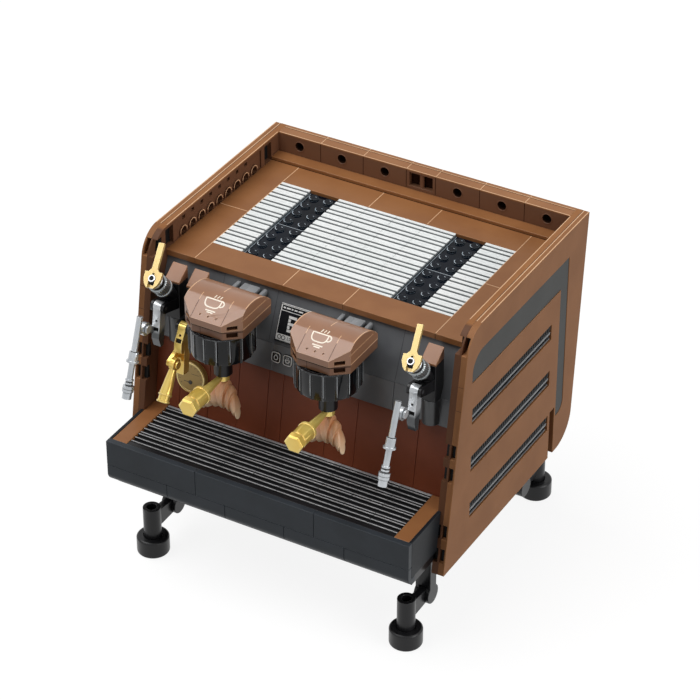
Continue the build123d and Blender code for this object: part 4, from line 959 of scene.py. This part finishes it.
def slotSheet(x, low, high, depth):
    # A dark sheet of painted shade buried behind the front slots of one wall layer, leaning with
    # the front edge
    path = [(x, leaning(wall["front"], z) + depth, z) for z in (low, high)]
    return stroke(path, (1, 0, 0), 2.0, 1.0, 1.0)


def wallArch(sign, y):
    # A pale half round of painted highlight over one of the inner wall's openings
    bend = np.linspace(0, np.pi, 13)
    path = np.stack([0 * bend + sign * wall["archX"], y + wall["arch"] * np.cos(bend),
                     wall["archLow"] + wall["arch"] * np.sin(bend)], -1)
    return stroke(path, np.array([-sign, 0, 0]) + 0 * path, wall["archWide"], lift=0.02)


for side, sign in sides.items():
    name = side.capitalize()
    sheets = [slotSheet(sign * wall["innerSlots"], *slot) for slot in wall["slots"]]
    # Painted shade: a dark box behind the inner wall's openings
    lining = sorted(sign * x for x in wall["lining"])
    sheets.append(softBox(*lining, *wall["liningDepth"], *wall["liningHeights"]))
    dress("wallDarks" + name, sheets, "inner_wall_" + side, "liner")
    sheets = [slotSheet(sign * wall["outerSlots"], *slot) for slot in wall["slots"]]
    dress("panelDarks" + name, sheets, "side_panel_" + side, "liner")
    lines = [lineOn(*((sign * x, leaning(wall["front"], z), z) for x in wall["seams"]),
                    wall["seamNormal"], wall["seamWide"]) for z in wall["seamHeights"]]
    lines.append(alongDepth(sign * wall["rimSeam"], *wall["rimDepth"], rimTop,
                            wall["rimSeamWide"]))
    dress("panelSeams" + name, lines, "side_panel_" + side, "darkLine")
    lines = [alongDepth(sign * x, *wall["rimDepth"], rimTop, wall["rimGlintWide"])
             for x in wall["rimGlints"]]
    dress("panelGlints" + name, lines, "side_panel_" + side, "paleLine")
    lines = [alongDepth(sign * wall["innerGlint"], *wall["innerDepth"], rimTop,
                        wall["innerWide"])]
    lines += [wallArch(sign, y) for y in wall["arches"]]
    dress("wallGlints" + name, lines, "inner_wall_" + side, "paleLine")
print("deck, rail and walls dressed")


# Side louvres: hanging teeth, a middle bar and two lower lines in each window

# Bars: outer face, lowest and highest edge below the window's top, ease
louvre = {"depth": (deckFront - 4.6, deckFront + 74.6), "highs": (120.1, 93.7, 67.3),
          "root": 84.6, "teeth": 44, "toothEnd": 0.9, "toothHalf": 0.42, "toothFace": 86.05,
          "toothSpan": (2.9, 0.2), "ease": 0.12, "barEnd": 0.2,
          "bars": ((86.1, 4.45, 3.8, 0.15), (86.0, 5.15, 4.7, 0.12), (85.8, 7.9, 7.5, 0.1))}
teeth, bars = [], []
front, rear = louvre["depth"]
for high in louvre["highs"]:
    low, top = (high - span for span in louvre["toothSpan"])
    for y in np.linspace(front + louvre["toothEnd"], rear - louvre["toothEnd"], louvre["teeth"]):
        teeth.append(softBox(louvre["root"], louvre["toothFace"], y - louvre["toothHalf"],
                             y + louvre["toothHalf"], low, top, louvre["ease"]))
    for face, low, top, ease in louvre["bars"]:
        bars.append(softBox(louvre["root"], face, front + louvre["barEnd"],
                            rear - louvre["barEnd"], high - low, high - top, ease))
dress("louvreTeeth", teeth + [flipped(part) for part in teeth], "side_louvres", "louvreDark")
dress("louvreBars", bars + [flipped(part) for part in bars], "side_louvres", "barGrey")
print("louvres dressed")


# Cup deck's smoked strips: painted highlights on the rims of the studs and along the long edges

smoked = {"strips": (-48.0, 32.0), "columns": (4, 12), "rows": deckFront + 20.0 + 8 * np.arange(8),
          "top": 150.2, "base": 149.4, "radius": 2.15, "arc": (175, 262), "rimWide": 0.3,
          "spark": ((0.3, 1.1), (1.2, 0.8)), "sparkWide": 0.25, "edges": (0.45, 15.55),
          "edgeDepth": (16.4, 79.6), "edgeWide": 0.22, "joint": (0.4, 15.6), "jointAt": 48,
          "jointWide": 0.2}
arc = np.radians(np.linspace(*smoked["arc"], 9))


def studGlints(x, y):
    # Part of a ring on the near left of a stud's rim, and a short spark across its top
    top, radius = smoked["top"], smoked["radius"]
    ring = np.stack([x + radius * np.cos(arc), y + radius * np.sin(arc), top + 0 * arc], -1)
    spark = [(x + a, y + b, top) for a, b in smoked["spark"]]
    return [stroke(ring, np.array(up) + 0 * ring, smoked["rimWide"]),
            lineOn(*spark, up, smoked["sparkWide"])]


glints = []
for left in smoked["strips"]:
    for x in smoked["columns"]:
        glints += [part for y in smoked["rows"] for part in studGlints(left + x, y)]
    glints += [alongDepth(left + x, *smoked["edgeDepth"], smoked["base"], smoked["edgeWide"])
               for x in smoked["edges"]]
    ends = (left + x for x in smoked["joint"])
    glints.append(alongWidth(smoked["jointAt"], *ends, smoked["base"], smoked["jointWide"]))
dress("smokedGlints", glints, "smoked_strips", "studGlint")


# Drip grille: narrow ridges over a dark floor, two at each tile's edges and one in its middle

drip = {"left": -71.9, "tiles": 9, "tile": 16.0, "gap": 0.22, "first": deckFront - 48.6,
        "pitch": 8.0, "rows": 4, "ridges": (0.87, 4.0, 7.13), "ridge": 0.46, "ease": 0.12,
        "front": deckFront - 51.5, "rear": deckFront - 14.9, "rearBar": 32.5, "low": 70.3,
        "floor": 71.9, "root": 71.7, "top": 73.3, "frontGap": 0.1, "frontTop": 73.2}
starts = drip["first"] + drip["pitch"] * np.arange(drip["rows"])
middles = [start + ridge for start in starts for ridge in drip["ridges"]]
half = drip["ridge"] / 2
ridges = []
for tile in range(drip["tiles"]):
    x0 = drip["left"] + tile * drip["tile"] + drip["gap"] / 2
    x1 = x0 + drip["tile"] - drip["gap"]
    spans = [(y - half, y + half) for y in middles]
    spans.append((drip["first"] + drip["rearBar"], drip["rear"]))
    ridges += [softBox(x0, x1, *span, drip["root"], drip["top"], drip["ease"]) for span in spans]
dress("dripRidges", ridges, "drip_grille_tiles", "drip", True)
across = drip["left"], drip["left"] + drip["tiles"] * drip["tile"]
slab = [softBox(*across, drip["front"], drip["rear"], drip["low"], drip["floor"]),
        softBox(*across, drip["front"], drip["first"] - drip["frontGap"], drip["root"],
                drip["frontTop"], drip["ease"])]
dress("dripFloor", slab, "drip_grille_tiles", "black", True)
print("grilles dressed")


# Gauge: a dished dial with a raised rim, ticks, a needle and a dark pin

dial = {"x": -59.6, "z": 92.2, "before": 1.3, "radius": 8.0, "thick": 3.0, "dish": 0.3, "rim": 6.8,
        "rimEase": 0.35, "rimSlope": 0.2, "rimLine": 7.45, "rimLineWide": 0.35, "ticks": 13,
        "tickTurn": (-35, 215), "tick": (5.5, 6.4), "tickWide": 0.22, "hole": (0.1, -2.3),
        "needle": ((0.1, -2.3), (-3.5, -2.4)), "needleWide": 0.3,
        "bar": ((0.3, 2.2), (4.5, 2.2)), "barWide": 0.2,
        "pin": ((0, -0.1), (1.05, -0.1), (1.05, 0.2), (0.85, 0.35), (0, 0.35))}
dialY = leaning(deckFront - dial["before"], dial["z"])
dialFloor = dial["thick"] - dial["dish"]


def onDial(parts):
    return aimedAll(parts, (dial["x"], dialY, dial["z"]), (0, -1, frontLean))


def dialLine(start, end, width):
    # A straight strip on the dial's floor
    return lineOn((*start, dialFloor), (*end, dialFloor), up, width)


r, thick, rim, ease = (dial[key] for key in ("radius", "thick", "rim", "rimEase"))
dialProfile = [(0, 0), (r, 0), (r, thick - ease), (r - ease, thick),
               (rim + dial["rimSlope"], thick), (rim, dialFloor), (0, dialFloor)]
dress("gaugeDial", onDial([turned(dialProfile, 72)]), "gauge", "dialGold", True)
reach = dial["rimLine"]
rimLine = np.stack([reach * np.cos(sweep), reach * np.sin(sweep), thick + 0 * sweep], -1)
rimStrip = stroke(rimLine, up, dial["rimLineWide"], loop=True)
dress("gaugeRim", onDial([rimStrip]), "gauge", "gold")
inks = []
for turn in np.radians(np.linspace(*dial["tickTurn"], dial["ticks"])):
    way = np.array([math.cos(turn), math.sin(turn)])
    inks.append(dialLine(*(way * radius for radius in dial["tick"]), dial["tickWide"]))
inks.append(dialLine(*dial["needle"], dial["needleWide"]))
inks.append(dialLine(*dial["bar"], dial["barWide"]))
inks.append(moved(turned(dial["pin"], 28), (*dial["hole"], dialFloor)))
dress("gaugeMarks", onDial(inks), "gauge", "dialInk")
print("gauge dressed")


# Back and underside: brick joints across the rear shell, tubes under the base plate

shell = {"top": deckFront + 111.2, "lean": 1 / 11, "half": 79.6, "first": 134.9, "course": 9.6,
         "courses": 9, "line": 0.25, "low": 58.0, "upright": (0.3, 9.3), "brick": 32, "start": -64}
outBack = np.array([0, 1, -shell["lean"]]) / math.hypot(1, shell["lean"])


def backLine(start, end):
    # A strip on the leaning back, between two (x, z) places
    points = [(x, shell["top"] - (rimTop - z) * shell["lean"], z) for x, z in (start, end)]
    return lineOn(*points, outBack, shell["line"])


backJoints = []
for course in range(shell["courses"]):
    z = shell["first"] - shell["course"] * course
    if course < shell["courses"] - 1:
        backJoints.append(backLine((-shell["half"], z), (shell["half"], z)))
    low, high = (z + rise for rise in shell["upright"])
    offset = shell["brick"] / 2 * (course % 2)
    for x in np.arange(shell["start"] + offset, shell["half"], shell["brick"]):
        backJoints.append(backLine((x, max(low, shell["low"])), (x, high)))
dress("backJoints", backJoints, "rear_shell", "toothGrey")
tube = {"profile": ((2.4, 46.8), (2.4, 45.2), (3.2, 45.2), (3.2, 46.8), (2.4, 46.8)),
        "columns": range(-56, 57, 16), "rows": range(-40, 73, 16)}
tubes = [moved(turned(tube["profile"], 16), (x, deckFront + y, 0))
         for x in tube["columns"] for y in tube["rows"]]
dress("baseTubes", tubes, "base_plate", "black")
print("back and underside dressed")


# Stage, light and camera

stageLook = {"half": 3.0, "colour": 0.17, "lift": 0.88}
worldLook = {"fill": 0.2, "shown": 0.9}
white = (1.0, 1.0, 1.0, 1.0)
scene = bpy.context.scene


def seenRays(tree):
    # 1 for what the camera sees, straight, in gloss or through glass, and 0 for light on things
    path = addNode(tree, "ShaderNodeLightPath")
    seen = path.outputs["Is Camera Ray"]
    for ray in ("Is Glossy Ray", "Is Transmission Ray"):
        either = addNode(tree, "ShaderNodeMath", operation="MAXIMUM")
        tree.links.new(seen, either.inputs[0])
        tree.links.new(path.outputs[ray], either.inputs[1])
        seen = either.outputs[0]
    return seen


floorMesh = bpy.data.meshes.new("floor")
edge = stageLook["half"]
floorMesh.from_pydata([(-edge, -edge, 0), (edge, -edge, 0), (edge, edge, 0), (-edge, edge, 0)],
                      [], [(0, 1, 2, 3)])
floor = bpy.data.objects.new("floor", floorMesh)
scene.collection.objects.link(floor)
floorFinish = bpy.data.materials.new("paleFloor")
floorFinish.use_nodes = True
tree = floorFinish.node_tree
tree.nodes.remove(tree.nodes["Principled BSDF"])
paint = addNode(tree, "ShaderNodeBsdfDiffuse", {"Color": (stageLook["colour"],) * 3 + (1.0,)})
glow = addNode(tree, "ShaderNodeEmission", {"Color": white})
lift = addNode(tree, "ShaderNodeMath", {1: stageLook["lift"]}, operation="MULTIPLY")
both = addNode(tree, "ShaderNodeAddShader")
tree.links.new(seenRays(tree), lift.inputs[0])
tree.links.new(lift.outputs[0], glow.inputs["Strength"])
tree.links.new(paint.outputs[0], both.inputs[0])
tree.links.new(glow.outputs[0], both.inputs[1])
tree.links.new(both.outputs[0], tree.nodes["Material Output"].inputs["Surface"])
floorMesh.materials.append(floorFinish)

world = bpy.data.worlds.new("studio")
scene.world = world
world.use_nodes = True
sky = world.node_tree
backdrop = sky.nodes["Background"]
backdrop.inputs["Color"].default_value = white
strength = ranged(sky, seenRays(sky), 0.0, 1.0, worldLook["fill"], worldLook["shown"])
sky.links.new(strength, backdrop.inputs["Strength"])


def setAt(name, data, x, z, place=(0, 0, 0)):
    # A lamp or camera with its x and z axes along two directions; Blender takes the matrix here
    # column by column
    piece = bpy.data.objects.new(name, data)
    scene.collection.objects.link(piece)
    x, z = (np.array(axis) / np.linalg.norm(axis) for axis in (x, z))
    rows = np.vstack([np.column_stack([x, np.cross(z, x), z, place]), [0, 0, 0, 1]])
    piece.matrix_world = rows.T.tolist()
    return piece


lamps = {"keyLight": {"towards": (0.36, 0.2, -0.91), "energy": 2.0, "angle": 50},
         "sideLight": {"towards": (-0.92, 0.05, -0.38), "energy": 1.3, "angle": 40}}
for name, lamp in lamps.items():
    sun = bpy.data.lights.new(name, "SUN")
    sun.energy = lamp["energy"]
    sun.angle = math.radians(lamp["angle"])
    away = -np.array(lamp["towards"])
    setAt(name, sun, np.cross((0, 1, 0.01), away), away)

view = {"place": (571.52, deckFront - 961.39, 877.75), "right": (0.8673, 0.4977, 0.0),
        "back": (0.41216, -0.7182, 0.56063), "focal": 2907.5, "frame": 700}
lens = bpy.data.cameras.new("camera")
lens.sensor_width = 36.0
lens.lens = view["focal"] / view["frame"] * lens.sensor_width
lens.clip_start = 0.05
place = np.array(view["place"]) * mm
bpy.context.scene.camera = setAt("camera", lens, view["right"], view["back"], place)
bpy.context.scene.view_settings.view_transform = "Standard"
print("stage, light and camera set")
